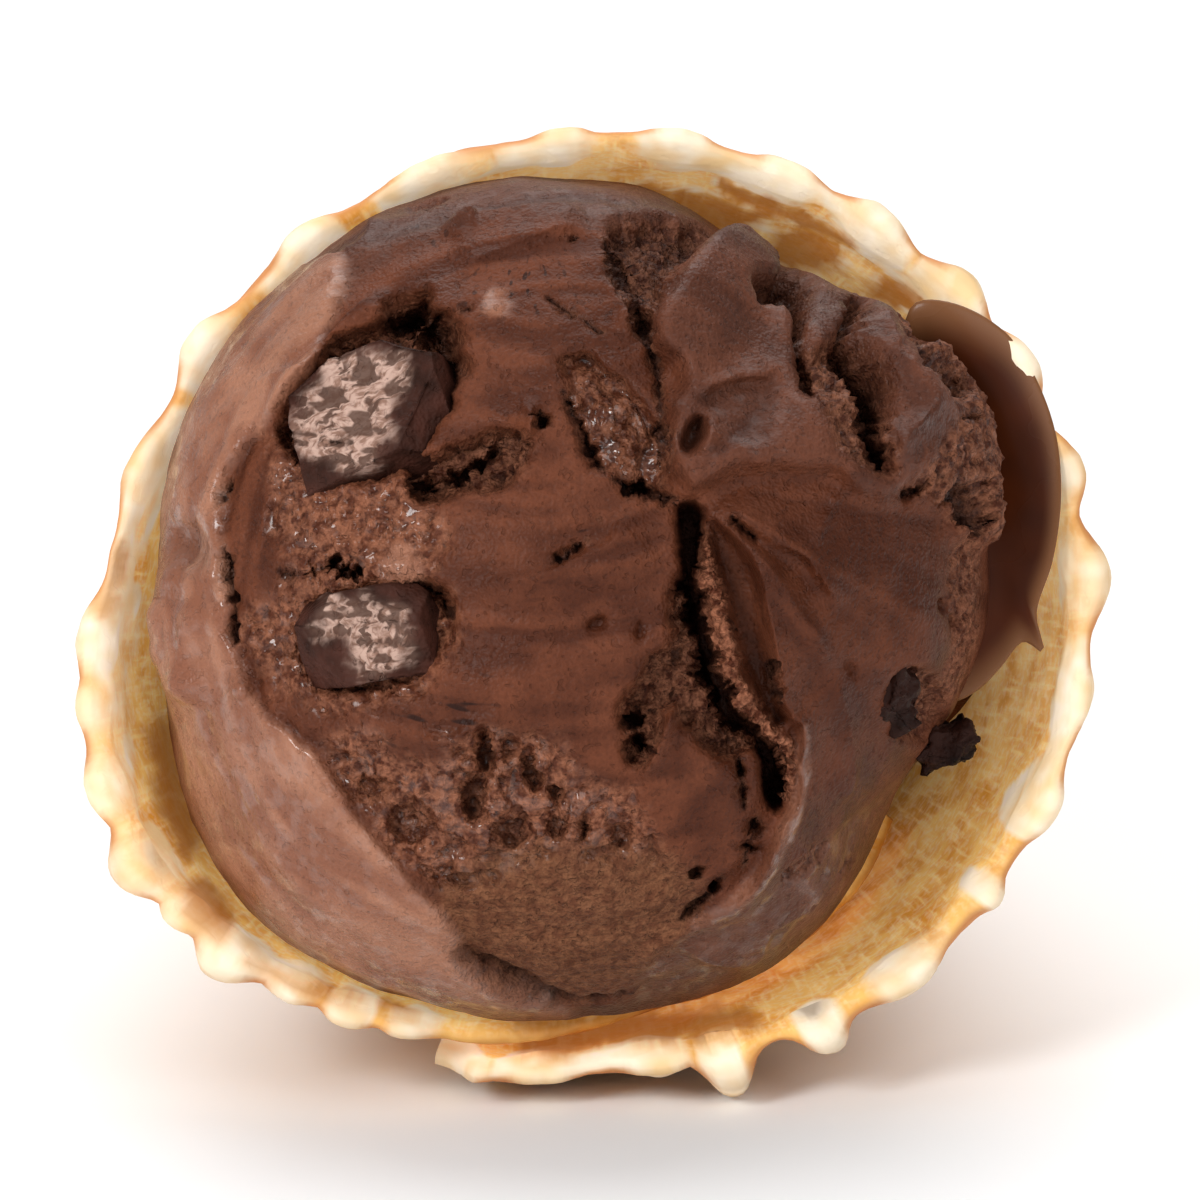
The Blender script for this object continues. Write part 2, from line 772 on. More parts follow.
        "pale spot at the top", soft=0.8, ragged=0.8, torn=0.3, melt=0.7, wet=0.8,
        outline=(
            (482, 296), (498, 289), (508, 300), (500, 312), (486, 310),
        ),
    ),
    Region(
        "wet edge of the long lip", soft=0.5, ragged=0.3, lift=0.15, melt=0.4, wet=0.8,
        outline=(
            (806, 722), (808, 760), (803, 800), (788, 834), (764, 880), (732, 912), (698, 930), (694, 922),
            (724, 900), (752, 872), (776, 832), (792, 790), (796, 745),
        ),
    ),
    Region(
        "crumb in the foot", soft=0.5, ragged=0.4, lift=-0.8, torn=0.7, deep=0.35,
        outline=(
            (783, 874), (794, 854), (812, 842), (828, 846), (826, 856), (806, 870), (790, 882),
        ),
    ),
)

# Each groove's route, width and depth, and how ragged its edges are.
GROOVES = (
    Groove("slit between the folds", ((731, 517), (738, 526), (747, 533), (758, 540)), 0.7, 1.3, 0.1),
    Groove("slit under the long lip", ((771, 655), (776, 680), (781, 703)), 0.9, 1.6, 0.1),
    Groove("nick in the blade", ((727, 617), (730, 628), (735, 636)), 0.6, 1.2, 0.2),
    Groove("crack above the hollow", ((633, 492), (652, 494), (676, 500)), 1.0, 2.2),
    Groove("bottom of the first crevice", ((768, 284), (772, 301), (784, 320), (790, 345)), 1.1, 1.6, 0.3),
    Groove("crevice's side branch", ((744, 306), (758, 312), (772, 316)), 1.0, 1.6, 0.45),
    Groove("start of the lobe's crevice", ((835, 316), (833, 335), (830, 356)), 1.0, 2.6, 0.4),
    Groove(
        "crevice in the lobe", width=1.3, depth=2.0, ragged=0.35,
        route=(
            (832, 360), (852, 379), (868, 409), (870, 440), (882, 472),
        ),
    ),
    Groove("crevice at the lobe's right", ((902, 366), (911, 386), (928, 402)), 1.4, 1.8, 0.35),
    Groove("pit row at the lobe's end", ((943, 338), (961, 346), (978, 366)), 1.5, 2.2, 0.5),
    Groove("notch under the lobe", ((934, 490), (947, 507), (959, 538)), 1.7, 2.6, 0.5),
    Groove("nick under the lobe", ((892, 498), (904, 493), (916, 488)), 0.9, 1.7, 0.4),
    Groove("nick at the lobe's foot", ((940, 424), (944, 436)), 0.9, 1.4, 0.3),
    Groove(
        "gap by the upper chunk", width=2.7, depth=4.0,
        route=(
            (384, 322), (412, 311), (437, 328), (446, 372), (434, 418),
        ),
    ),
    Groove("hole beside the ridge", ((538, 410), (543, 426)), 1.3, 2.2),
    Groove("crevice in the hollow", ((408, 492), (440, 486), (478, 466), (502, 444)), 1.5, 2.8, 0.4),
    Groove("edge of the wet furrow", ((560, 380), (580, 430), (600, 468), (634, 490)), 0.9, 1.7, 0.35),
    Groove(
        "furrow left of the lobe", width=1.6, depth=1.4, ragged=0.4,
        route=(
            (604, 240), (628, 290), (652, 350), (660, 400), (662, 460),
        ),
    ),
    Groove("dent by the lower chunk", ((278, 570), (300, 574), (326, 568)), 1.1, 0.9, 0.4),
    Groove("crack by the lower chunk", ((328, 558), (340, 568), (350, 574), (363, 567)), 1.5, 2.8, 0.35),
    Groove("hole by the lower chunk", ((410, 587), (432, 592), (453, 616)), 1.9, 3.2, 0.35),
    Groove("tear over the leaf", ((552, 562), (572, 550), (588, 540)), 0.8, 1.3, 0.35),
    Groove("nicks over the leaf", ((592, 534), (596, 524), (600, 514)), 0.4, 0.8, 0.35),
    Groove("hole at the furrow's foot", ((622, 492), (632, 490), (644, 484)), 1.2, 2.4, 0.3),
    Groove("hole at the top", ((458, 312), (466, 310), (476, 309)), 0.8, 1.4, 0.3),
    Groove("nick at the top right", ((568, 240), (574, 243)), 0.6, 1.2, 0.2),
    Groove("slanting tear", ((546, 298), (562, 308), (578, 318), (594, 328), (604, 332)), 0.45, 0.9, 0.35),
    Groove("edge of the left band", ((236, 470), (228, 486), (221, 504)), 0.5, 0.9, 0.3),
    Groove("edge of the left band, lower", ((226, 544), (229, 576), (236, 604), (234, 646)), 0.9, 1.5, 0.3),
    Groove("edge at the bottom", ((550, 1006), (600, 1005), (636, 1000)), 0.6, 0.7, 0.2),
    Groove("tear at the upper left", ((408, 214), (430, 210), (446, 206)), 0.7, 0.9, 0.3),
    Groove("pit in the plate", ((696, 866), (699, 877)), 1.0, 1.8, 0.3),
    Groove("pit under the plate", ((713, 884), (719, 896)), 1.1, 1.9, 0.3),
    Groove("tear at the foot's edge", ((802, 912), (822, 900), (838, 880), (856, 862)), 0.7, 1.0, 0.35),
    Groove("pit in the hollow", ((628, 712), (640, 740), (655, 752)), 1.6, 2.2, 0.5),
    Groove("tear by the plate", ((756, 816), (750, 838), (744, 866)), 1.5, 2.4, 0.5),
    Groove("tear under the plate", ((682, 924), (700, 905), (714, 892), (722, 872)), 0.9, 1.5, 0.5),
    Groove("tear beside the plate", ((738, 752), (742, 780), (744, 806)), 0.9, 1.8, 0.4),
)

# Each lip's route and height, its reach on the left and right of the route, and its raggedness.
RIDGES = (
    Ridge(
        "edge of the right fold", height=1.1, left=0.35, right=0.9,
        route=(
            (704, 520), (712, 550), (719, 578), (725, 599), (727, 622), (733, 645), (738, 665), (747, 682),
            (760, 704), (772, 720),
        ),
    ),
    Ridge(
        "long lip", height=1.7, left=1.5, right=0.4,
        route=(
            (729, 523), (740, 546), (754, 562), (761, 585), (765, 612), (772, 647), (778, 677), (781, 702),
            (791, 716), (803, 725), (804, 741), (800, 764), (799, 787), (795, 805), (786, 821), (780, 834),
            (757, 879), (726, 908), (695, 926),
        ),
    ),
    Ridge(
        "second lip", height=1.2, left=0.35, right=1.3,
        route=(
            (704, 509), (724, 519), (738, 537), (752, 550), (765, 564), (781, 583), (791, 599), (802, 617),
            (814, 631), (825, 651), (831, 672),
        ),
    ),
    Ridge(
        "third lip", height=1.2, left=1.6, right=0.35,
        route=(
            (712, 507), (726, 511), (742, 519), (761, 532), (775, 541), (791, 549), (804, 555), (811, 564),
            (823, 580), (832, 594), (839, 612),
        ),
    ),
    Ridge("crumb line", ((812, 546), (829, 511), (846, 484)), 0.4, 0.4, 0.4, 0.35),
    Ridge(
        "smooth ridge in the lobe", height=1.7, left=1.0, right=1.0, ragged=0.35,
        route=(
            (838, 318), (869, 371), (890, 393), (906, 420), (892, 446), (898, 478),
        ),
    ),
    Ridge(
        "edge of the dull pocket", height=0.5, left=0.6, right=0.3, ragged=0.1,
        route=(
            (701, 402), (710, 388), (730, 380), (752, 377), (775, 380),
        ),
    ),
    Ridge(
        "lip by the upper chunk", height=0.9, left=0.6, right=0.9,
        route=(
            (270, 440), (279, 402), (318, 358), (352, 322), (390, 286),
        ),
    ),
    Ridge("fold at the upper left", ((344, 262), (366, 252), (376, 234), (372, 222)), 0.7, 0.6, 0.9),
    Ridge(
        "ragged ridge in the middle", height=1.5, left=0.7, right=0.9, ragged=0.4,
        route=(
            (524, 395), (530, 425), (524, 455), (514, 484),
        ),
    ),
    Ridge(
        "ridge in the plate", height=1.9, left=0.6, right=0.7, ragged=0.3,
        route=(
            (676, 704), (668, 725), (660, 740), (650, 757), (640, 778),
        ),
    ),
    Ridge(
        "soft fold on the right", height=0.7, left=0.5, right=1.8, ragged=0.1,
        route=(
            (831, 668), (842, 700), (848, 735), (846, 775), (832, 812),
        ),
    ),
    Ridge(
        "edge of the foot's fold", height=0.8, left=1.8, right=0.45,
        route=(
            (662, 944), (710, 963), (744, 964), (759, 954), (772, 928), (805, 908), (861, 850),
        ),
    ),
    Ridge("drip on the foot", ((764, 974), (782, 941), (793, 921)), 0.5, 0.45, 0.45, 0.05),
    Ridge(
        "bottom lip", height=0.35, left=0.35, right=0.35, ragged=0.05,
        route=(
            (450, 948), (456, 964), (473, 977), (492, 986), (512, 994),
        ),
    ),
    Ridge("leaf tip", ((420, 742), (452, 738), (476, 724), (480, 712)), 0.6, 0.5, 0.6),
    Ridge("bulge on the left edge", ((186, 560), (182, 620), (188, 690)), 0.5, 0.9, 1.6),
    Ridge("drip on the left band", ((211, 597), (202, 630), (199, 662), (203, 700)), 0.8, 0.7, 0.9),
    Ridge(
        "lip of the leaf", height=0.95, left=0.22, right=2.4,
        route=(
            (474, 586), (503, 579), (535, 576), (573, 560), (611, 541), (622, 522), (650, 512),
        ),
    ),
    Ridge(
        "layer over the pores", height=0.6, left=1.6, right=0.25,
        route=(
            (455, 273), (487, 257), (532, 241), (573, 232), (590, 236),
        ),
    ),
    Ridge("layer at the top", ((440, 236), (458, 226), (506, 219), (551, 216), (590, 222)), 0.5, 0.25, 1.4),
    Ridge("crumb streak at the top", ((449, 236), (462, 229), (481, 223)), 0.8, 0.35, 0.35, 0.3),
    Ridge(
        "lip in the left field", height=0.9, left=0.3, right=1.3,
        route=(
            (252, 392), (282, 380), (312, 366), (334, 340), (359, 315), (391, 286),
        ),
    ),
    Ridge(
        "wall between the pits", height=0.8, left=0.5, right=0.5, ragged=0.2,
        route=(
            (492, 700), (497, 740), (496, 790), (492, 830), (485, 872),
        ),
    ),
    Ridge("wall to the right of it", ((498, 766), (520, 757), (546, 742)), 0.6, 0.4, 0.4, 0.2),
    Ridge("third wall", ((566, 800), (574, 828), (594, 852)), 0.7, 0.5, 0.5, 0.2),
    Ridge("second drip", ((222, 700), (240, 770), (275, 840), (330, 910)), 0.3, 1.0, 1.0),
    Ridge("knots above the furrow", ((604, 236), (618, 270), (628, 310), (636, 340)), 1.1, 0.6, 0.8, 0.5),
    Ridge("wet fold in the furrow", ((570, 372), (600, 392), (622, 430), (640, 470)), 0.9, 0.7, 0.7, 0.3),
    Ridge("roll round the curl", ((700, 420), (708, 430), (708, 444), (700, 456)), 0.9, 0.6, 0.6, 0.1),
    Ridge(
        "edge of the lower right", height=0.5, left=0.6, right=0.6, ragged=0.2,
        route=(
            (660, 985), (648, 960), (680, 938), (740, 912), (760, 880),
        ),
    ),
)

# Each mound's or pit's place, half sizes, turn in degrees and height, and how steep its sides are.
DENTS = (
    Dent("right side", (870, 600), (8.5, 13.0), 0.0, 1.3),
    Dent("nose of the lobe", (690, 322), (3.2, 4.6), 10.0, 1.1),
    Dent("dimple on the left", (197, 545), (1.2, 1.9), 20.0, -1.3),
    Dent("bead on the left", (174, 620), (0.9, 1.2), 0.0, 0.5),
    Dent("bead under it", (172, 650), (0.8, 1.0), 0.0, 0.5),
    Dent("drop on the band", (203, 686), (0.9, 1.3), 10.0, 0.8),
    Dent("second drop on the band", (243, 688), (0.7, 0.8), 0.0, 0.8),
    Dent("bead by the lip", (272, 716), (0.9, 1.2), 0.0, 0.5),
    Dent("curl at the lobe's edge", (693, 436), (0.8, 1.5), -25.0, -2.4, 2.0),
    Dent("bead under the lobe", (762, 466), (0.9, 0.6), 10.0, 0.8),
    Dent("pit a", (486, 750), (0.85, 1.6), 5.0, -1.9, 2.6),
    Dent("pit b", (476, 798), (0.95, 1.8), -5.0, -1.9, 2.6),
    Dent("pit c", (512, 830), (1.3, 1.2), 0.0, -1.7, 2.6),
    Dent("pit d", (531, 770), (0.7, 1.5), 10.0, -1.7, 2.6),
    Dent("pit e", (558, 826), (0.8, 1.1), 0.0, -1.4, 2.6),
    Dent("pit f", (510, 748), (0.8, 1.0), 0.0, -1.1, 2.6),
    Dent("pit g", (411, 822), (2.0, 1.5), -35.0, -1.7, 2.2),
    Dent("pit h", (372, 790), (1.2, 1.0), 0.0, -1.1),
    Dent("pit i", (597, 623), (0.9, 0.5), 20.0, -0.9, 2.0),
    Dent("pit j", (455, 845), (1.2, 0.9), 20.0, -1.0),
    Dent("pit k", (583, 828), (0.6, 0.9), -10.0, -1.4, 2.6),
    Dent("pit l", (557, 794), (0.6, 0.6), 20.0, -1.3, 2.6),
    Dent("pit m", (640, 631), (0.35, 0.8), 0.0, -0.8, 2.0),
    Dent("pit n", (936, 604), (0.4, 0.5), 0.0, -0.9, 2.0),
    Dent("pit o", (950, 618), (0.5, 0.5), 0.0, -0.9, 2.0),
    Dent("pit p", (850, 668), (0.35, 0.8), 30.0, -0.7, 2.0),
    Dent("pit q", (441, 876), (1.6, 0.9), -20.0, -1.0, 2.0),
    Dent("pit r", (620, 836), (1.0, 0.8), 20.0, -1.1, 2.0),
    Dent("crumb on the right", (806, 861), (1.5, 0.8), 40.0, 0.9),
    Dent("hump in the middle", (560, 690), (6.5, 5.0), 0.0, 0.6),
    Dent("hump under the top band", (480, 330), (4.6, 3.6), 0.0, 0.5),
)


@dataclass
class Surface:
    """What the ice cream's features make of each place of its surface."""

    height: Array
    torn: Array
    melt: Array
    grey: Array
    sandy: Array
    deep: Array
    wet: Array
    fine: Array
    pores: Array
    painted: ClassVar[tuple[str, ...]] = ("torn", "melt", "grey", "sandy", "deep", "wet")

    def add(self, kind: str, share: Array) -> None:
        """Raise one kind of surface to at least a share at each place."""
        setattr(self, kind, np.maximum(getattr(self, kind), share))


@dataclass
class IceCream:
    """The scoop: one closed body from the plug in the cone to the top of the dome."""

    centre: tuple[float, float] = (-2.3, 0.7)
    level: float = 143.0
    height: float = 27.5
    drop: float = 30.0
    radius: float = 30.9
    swells: tuple[tuple[float, float, float], ...] = (
        (28.0, 14.0, 0.065),
        (56.0, 16.0, -0.085),
        (182.0, 22.0, -0.04),
        (228.0, 22.0, 0.05),
        (330.0, 17.0, -0.095),
    )
    plug_levels: tuple[float, ...] = (100.0, 60.0, 24.0, 16.0)
    meet_depth: float = 17.0
    melted_shelf: tuple[float, float, float] = (18.0, 19.0, 14.0)
    leaning_side: tuple[float, float, float] = (205.0, 45.0, 10.0)
    open_side: tuple[float, float, float] = (333.0, 19.0, 10.0)
    start_lift: float = 0.12
    dome_share: float = 0.60
    side_share: float = 0.72
    shelf_share: float = 0.77
    gap: float = 0.35
    sphere_splits: int = 6
    busy_from: tuple[float, ...] = (0.5, 0.93)
    torn_busy: float = 0.85
    fan_foot: tuple[float, float] = (690.0, 480.0)
    swirl_middle: tuple[float, float] = (540.0, 220.0)
    swirl_length: float = 7.5
    rays: Drag = Drag(0.33, 0.05, 21)
    rings: Drag = Drag(1.1, 2.2, 22)
    hoops: Drag = Drag(1.7, 0.03, 23)
    line_height: float = 0.17
    edge_grain: Relief = Relief(1.0, 1.7, 4, 11)
    pore_fields: Relief = Relief(1.0, 6.5, 2, 12)
    lumps: Relief = Relief(0.75, 13.0, 2, 3)
    small_lumps: Relief = Relief(0.22, 4.0, 2, 4)
    sand_lumps: Relief = Relief(0.12, 2.4, 3, 9)
    satin: Relief = Relief(0.05, 1.4, 3, 10)
    clod_size: float = 2.3
    clod_height: float = 2.5
    grain_size: float = 0.62
    torn_grain: float = 0.18
    sand_grain: float = 0.12
    dent_shade: float = 0.24
    groove_shade: float = 1.6
    groove_torn: float = 0.8
    crease_shade: float = 0.8

    def meet_level(self, clock: Array) -> Array:
        """Return the level at which the side leaves the wall of the cone."""
        at, width, rise = self.melted_shelf
        melt = rise * np.minimum(1.0, 1.6 * bell(clock, at, width))
        at, width, rise = self.leaning_side
        raised = np.maximum(melt, rise * bell(clock, at, width))
        at, width, fall = self.open_side
        return self.level + 3.0 - self.meet_depth + raised - fall * bell(clock, at, width)

    def keep_inside(self, points: Array) -> Array:
        """Hold the points that lie low inside the wall of the cone."""
        across = np.linalg.norm(points[:, :2], axis=1)
        free = ROLL.free_radius(clock_of(points), points[:, 2], self.gap)
        low = 1.0 - smoothstep(self.level + 6.0, self.level + 9.0, points[:, 2])
        share = np.minimum(1.0, np.maximum(free, 0.5) / np.maximum(across, 0.001))
        share = 1.0 + (share - 1.0) * low
        return np.column_stack([points[:, :2] * share[:, None], points[:, 2]])

    def body(self, spots: Array) -> tuple[Array, Array, Array]:
        """Blow up a unit sphere to the plain body.

        Args:
            spots: Places on the unit sphere, with the dome round its +Z pole.

        Returns:
            Places in the cone's frame, the way out at each and its lift above the equator.
        """
        share = np.arccos(np.clip(spots[:, 2], -1.0, 1.0)) / math.pi
        clock = clock_of(spots)
        around = np.stack([np.cos(np.radians(clock)), np.sin(np.radians(clock))], 1)
        broad = self.radius * swell(clock, self.swells)
        meet = self.meet_level(clock)
        low = np.arcsin(np.clip((meet + 1.2 - self.level) / self.drop, -1.0, 1.0))
        start = self.start_lift + np.maximum(low, 0.0)
        part = np.clip(1.0 - share / self.dome_share, 0.0, 1.0)
        down = np.clip((share - self.dome_share) / (self.side_share - self.dome_share), 0.0, 1.0)
        lift = np.where(part > 0.0, start + (math.pi / 2.0 - start) * part, start + (low - start) * down)
        tall = self.height + (self.drop - self.height) * (1.0 - part) ** 2
        flat = np.array(self.centre) + around * (broad * np.cos(lift))[:, None]
        dome = np.column_stack([flat, self.level + tall * np.sin(lift)])
        deep = np.clip((share - self.shelf_share) / (1.0 - self.shelf_share), 0.0, 1.0)
        steps = np.linspace(0.0, 1.0, len(self.plug_levels) + 1)[1:]
        lower = np.interp(deep, steps, self.plug_levels)
        first = np.clip(deep / steps[0], 0.0, 1.0)
        level = np.where(deep < steps[0], meet + (self.plug_levels[0] - meet) * first, lower)
        free = ROLL.free_radius(clock, level, self.gap) * np.clip((1.0 - deep) * 10.0, 0.0, 1.0)
        plug = np.column_stack([around * free[:, None], level])
        ledge = smoothstep(self.side_share, self.shelf_share, share)[:, None]
        outward = np.column_stack([around * np.cos(lift)[:, None], np.sin(lift)])
        lift = np.where(ledge[:, 0] > 0, -1.0, lift)
        return self.keep_inside(dome * (1.0 - ledge) + plug * ledge), outward, lift

    def drawn(self, seen: Array) -> tuple[Array, Array]:
        """Return how far out places lie in the swirl of the scoop's drag, and their bearing in it."""
        return polar(PHOTO.offsets(seen, self.swirl_middle))

    def flow(self, seen: Array) -> Array:
        """Return fine lines that run the way the scoop was dragged, from -1 to 1."""
        fan_run, fan_bearing = polar(PHOTO.offsets(seen, self.fan_foot))
        out, bearing = polar(seen - np.array(self.centre))
        rays = self.rays.lines(np.degrees(fan_bearing), fan_run)
        rings = self.rings.lines(*self.drawn(seen))
        wobble = 1.4 * soft_noise(flat_places(seen), size=9.0, seed=24)
        hoops = self.hoops.lines(out, np.degrees(bearing), wobble)
        right = smoothstep(4.0, 9.0, seen[:, 0]) * smoothstep(12.0, 6.0, seen[:, 1])
        edge = smoothstep(19.0, 24.0, out) * (1.0 - right)
        middle = 1.0 - np.maximum(right, edge)
        return rays * right + hoops * edge + rings * middle

    def read_features(self, seen: Array, lift: Array) -> Surface:
        """Work out what every feature does at each place.

        Args:
            seen: Where each place shows in the plane of the rim.
            lift: Its lift above the equator, in radians.

        Returns:
            Heights in millimetres and the share of each kind of surface.
        """
        flat = flat_places(seen)
        grain = self.edge_grain.at(flat)
        shown = smoothstep(0.05, 0.42, lift)
        made = Surface(*(np.zeros(len(seen)) for _ in fields(Surface)))
        for region in REGIONS:
            cover = region.cover(seen, grain) * shown
            made.height += region.lift * cover
            for kind in Surface.painted:
                made.add(kind, getattr(region, kind) * cover)
            made.add("fine", 4.0 * min(1.0, abs(region.lift)) * cover * (1.0 - cover))
        for dent in DENTS:
            pressed = dent.press(seen, grain) * shown
            made.height += pressed
            made.add("deep", np.clip(-pressed * self.dent_shade, 0.0, 1.0))
            made.add("fine", np.clip(-1.5 * pressed, 0.0, 1.0))
        for ridge in RIDGES:
            lip = ridge.raise_lip(seen, grain) * shown
            made.height += lip
            made.add("fine", np.clip(1.4 * lip / ridge.height, 0.0, 1.0))
        for groove in GROOVES:
            cut, inside = groove.carve(seen, grain)
            made.height = np.minimum(made.height, made.height + cut * shown)
            made.add("deep", inside**self.groove_shade * shown)
            made.add("torn", self.groove_torn * inside * shown)
        cluster = smoothstep(0.02, 0.35, self.pore_fields.at(flat + 31.0))
        left = smoothstep(9.0, 5.0, seen[:, 0])
        made.pores = cluster * (1.0 - made.melt) * (1.0 - 0.6 * made.torn) * shown * (0.25 + 0.75 * left)
        return made

    def sphere(self) -> bmesh.types.BMesh:
        """Make the unit sphere, finer where the surface has more to show."""
        bm = bmesh.new()
        bmesh.ops.create_icosphere(bm, subdivisions=self.sphere_splits, radius=1.0)
        for busy_from in (None, *self.busy_from):
            points, _, lift = self.body(coordinates(bm))
            wanted = lift > 0.0
            if busy_from is not None:
                found = self.read_features(PHOTO.seen(points), lift)
                busy = np.maximum(self.torn_busy * found.torn, np.maximum(found.deep, found.fine))
                wanted = busy > busy_from
            split_edges(bm, wanted, most=3)
            for vert in bm.verts:
                vert.co.normalize()
            LOG.info("ice cream: %d faces", len(bm.faces))
        return bm

    def raise_features(self, points: Array, outward: Array, lift: Array, raised: Array) -> Array:
        """Lift the plain body by its features: sideways on its sides and along the axis on top."""
        upright = smoothstep(0.35, 0.85, lift)[:, None]
        course = outward * (1.0 - upright) + np.array([0.0, 0.0, 1.0]) * upright
        course /= np.linalg.norm(course, axis=1)[:, None]
        return self.keep_inside(points + course * raised[:, None])

    def build(self) -> bpy.types.Object:
        """Model the scoop with its lobes, cracks, torn hollows and melted band."""
        bm = self.sphere()
        points, outward, lift = self.body(coordinates(bm))
        seen = PHOTO.seen(points)
        made = self.read_features(seen, lift)
        flow = self.flow(seen)
        lines = self.line_height * flow * (1.0 - made.torn) * smoothstep(0.0, 0.4, lift)
        lumps = self.lumps.at(points) + self.small_lumps.at(points)
        shown = smoothstep(-0.4, 0.3, lift)
        points = self.raise_features(points, outward, lift, made.height + lines + lumps * shown)
        mesh = to_mesh(bm, "ice_cream")
        mesh.vertices.foreach_set("co", points.ravel())
        mesh.update()
        normals = np.empty(len(points) * 3)
        mesh.vertex_normals.foreach_get("vector", normals)
        clods = billow(points, self.clod_size, octaves=5, seed=6)
        grains = 0.5 - cells(points, self.grain_size, seed=8)
        rough = made.torn * (self.clod_height * (clods - 0.30) + self.torn_grain * grains)
        sand = made.sandy * (self.sand_grain * grains + self.sand_lumps.at(points))
        satin = (1.0 + (1.0 - made.melt)) * self.satin.at(points)
        points = points + normals.reshape(-1, 3) * ((rough + sand + satin * shown)[:, None])
        run, bearing = self.drawn(seen)
        paint = {kind: getattr(made, kind) for kind in (*Surface.painted, "pores")}
        creases = self.crease_shade * made.torn * smoothstep(0.2, 0.06, clods)
        paint["deep"] = np.clip(made.deep + creases, 0.0, 1.0)
        paint.update(flow=flow, run=run, across=self.swirl_length * bearing)
        return finish_mesh(mesh, self.keep_inside(points), "ice_cream_scoop_dressed", paint)


@dataclass(frozen=True)
class Knob:
    """A drop of batter that ran out of the iron at the rim."""

    clock: float
    reach: float
    width: float = 2.2
    length: float = 4.5


KNOBS = (
    Knob(3.5, 37.5, 3.0), Knob(16.5, 37.4, 2.4), Knob(30.0, 37.1, 2.8), Knob(41.0, 36.7, 2.6),
    Knob(54.0, 35.9, 2.6), Knob(67.0, 35.6, 2.6), Knob(80.0, 35.4, 2.4), Knob(94.0, 35.3, 2.2),
    Knob(111.5, 35.0, 3.0), Knob(128.0, 35.2, 2.6), Knob(146.0, 35.9, 2.6), Knob(162.5, 36.2, 3.2),
    Knob(182.5, 37.8, 2.6), Knob(191.0, 38.0, 1.8), Knob(200.0, 39.5, 2.2), Knob(209.5, 40.4, 2.4),
    Knob(216.5, 38.6, 1.6), Knob(223.5, 38.9, 2.3, 6.0), Knob(231.5, 36.6, 1.9), Knob(238.5, 35.8, 1.8),
    Knob(246.0, 34.5, 2.0), Knob(253.0, 36.2, 1.9), Knob(263.5, 34.2, 2.4), Knob(277.5, 34.4, 2.6),
    Knob(286.0, 37.3, 1.9, 7.0), Knob(298.0, 37.0, 1.8, 6.0),
    Knob(310.0, 36.2, 2.8), Knob(324.0, 36.4, 1.3, 6.0),
    Knob(336.0, 36.8, 2.6), Knob(349.5, 36.6, 2.6),
)

BROWN_PATCHES = (
    Patch(
        "right of the top", soft=1.0, ragged=0.8,
        outline=(
            (612, 205), (640, 186), (700, 196), (760, 212), (745, 232), (690, 218), (640, 205),
        ),
    ),
    Patch("cell at the top", ((690, 205), (720, 200), (742, 214), (735, 236), (700, 230)), 0.8, 0.5),
    Patch(
        "cell at the right of it", soft=0.8, ragged=0.5,
        outline=(
            (770, 236), (812, 230), (842, 248), (838, 272), (795, 272), (765, 256),
        ),
    ),
    Patch("third cell", ((868, 282), (900, 280), (925, 300), (905, 312), (872, 300)), 0.8, 0.5),
    Patch(
        "band at the top right", soft=0.8, ragged=0.5,
        outline=(
            (720, 180), (790, 205), (850, 235), (856, 252), (800, 228), (740, 205),
        ),
    ),
    Patch("left side", ((165, 720), (182, 760), (200, 830), (180, 860), (160, 800), (150, 740)), 1.2, 0.8),
    Patch("lower left", ((186, 880), (215, 890), (240, 930), (225, 950), (190, 930), (178, 900)), 1.0, 0.7),
    Patch(
        "bottom edge", soft=0.9, ragged=0.6,
        outline=(
            (250, 955), (330, 985), (420, 1010), (400, 1020), (300, 995), (245, 970),
        ),
    ),
    Patch(
        "bottom middle", soft=1.2, ragged=0.9,
        outline=(
            (520, 1020), (640, 1012), (760, 1010), (740, 1035), (620, 1045), (540, 1060),
        ),
    ),
    Patch("edge at the left", ((90, 585), (120, 540), (128, 560), (112, 620), (98, 620)), 1.0, 0.7),
)


@dataclass
class Sheet:
    """The waffle's flat sheet, vertex by vertex, before it is rolled up."""

    turn: Array
    slant: Array
    back: Array
    side: Array
    flat: Array
    ridges: Array
    lump: Array
    stand: Array
    cover: Array
    shown: Array


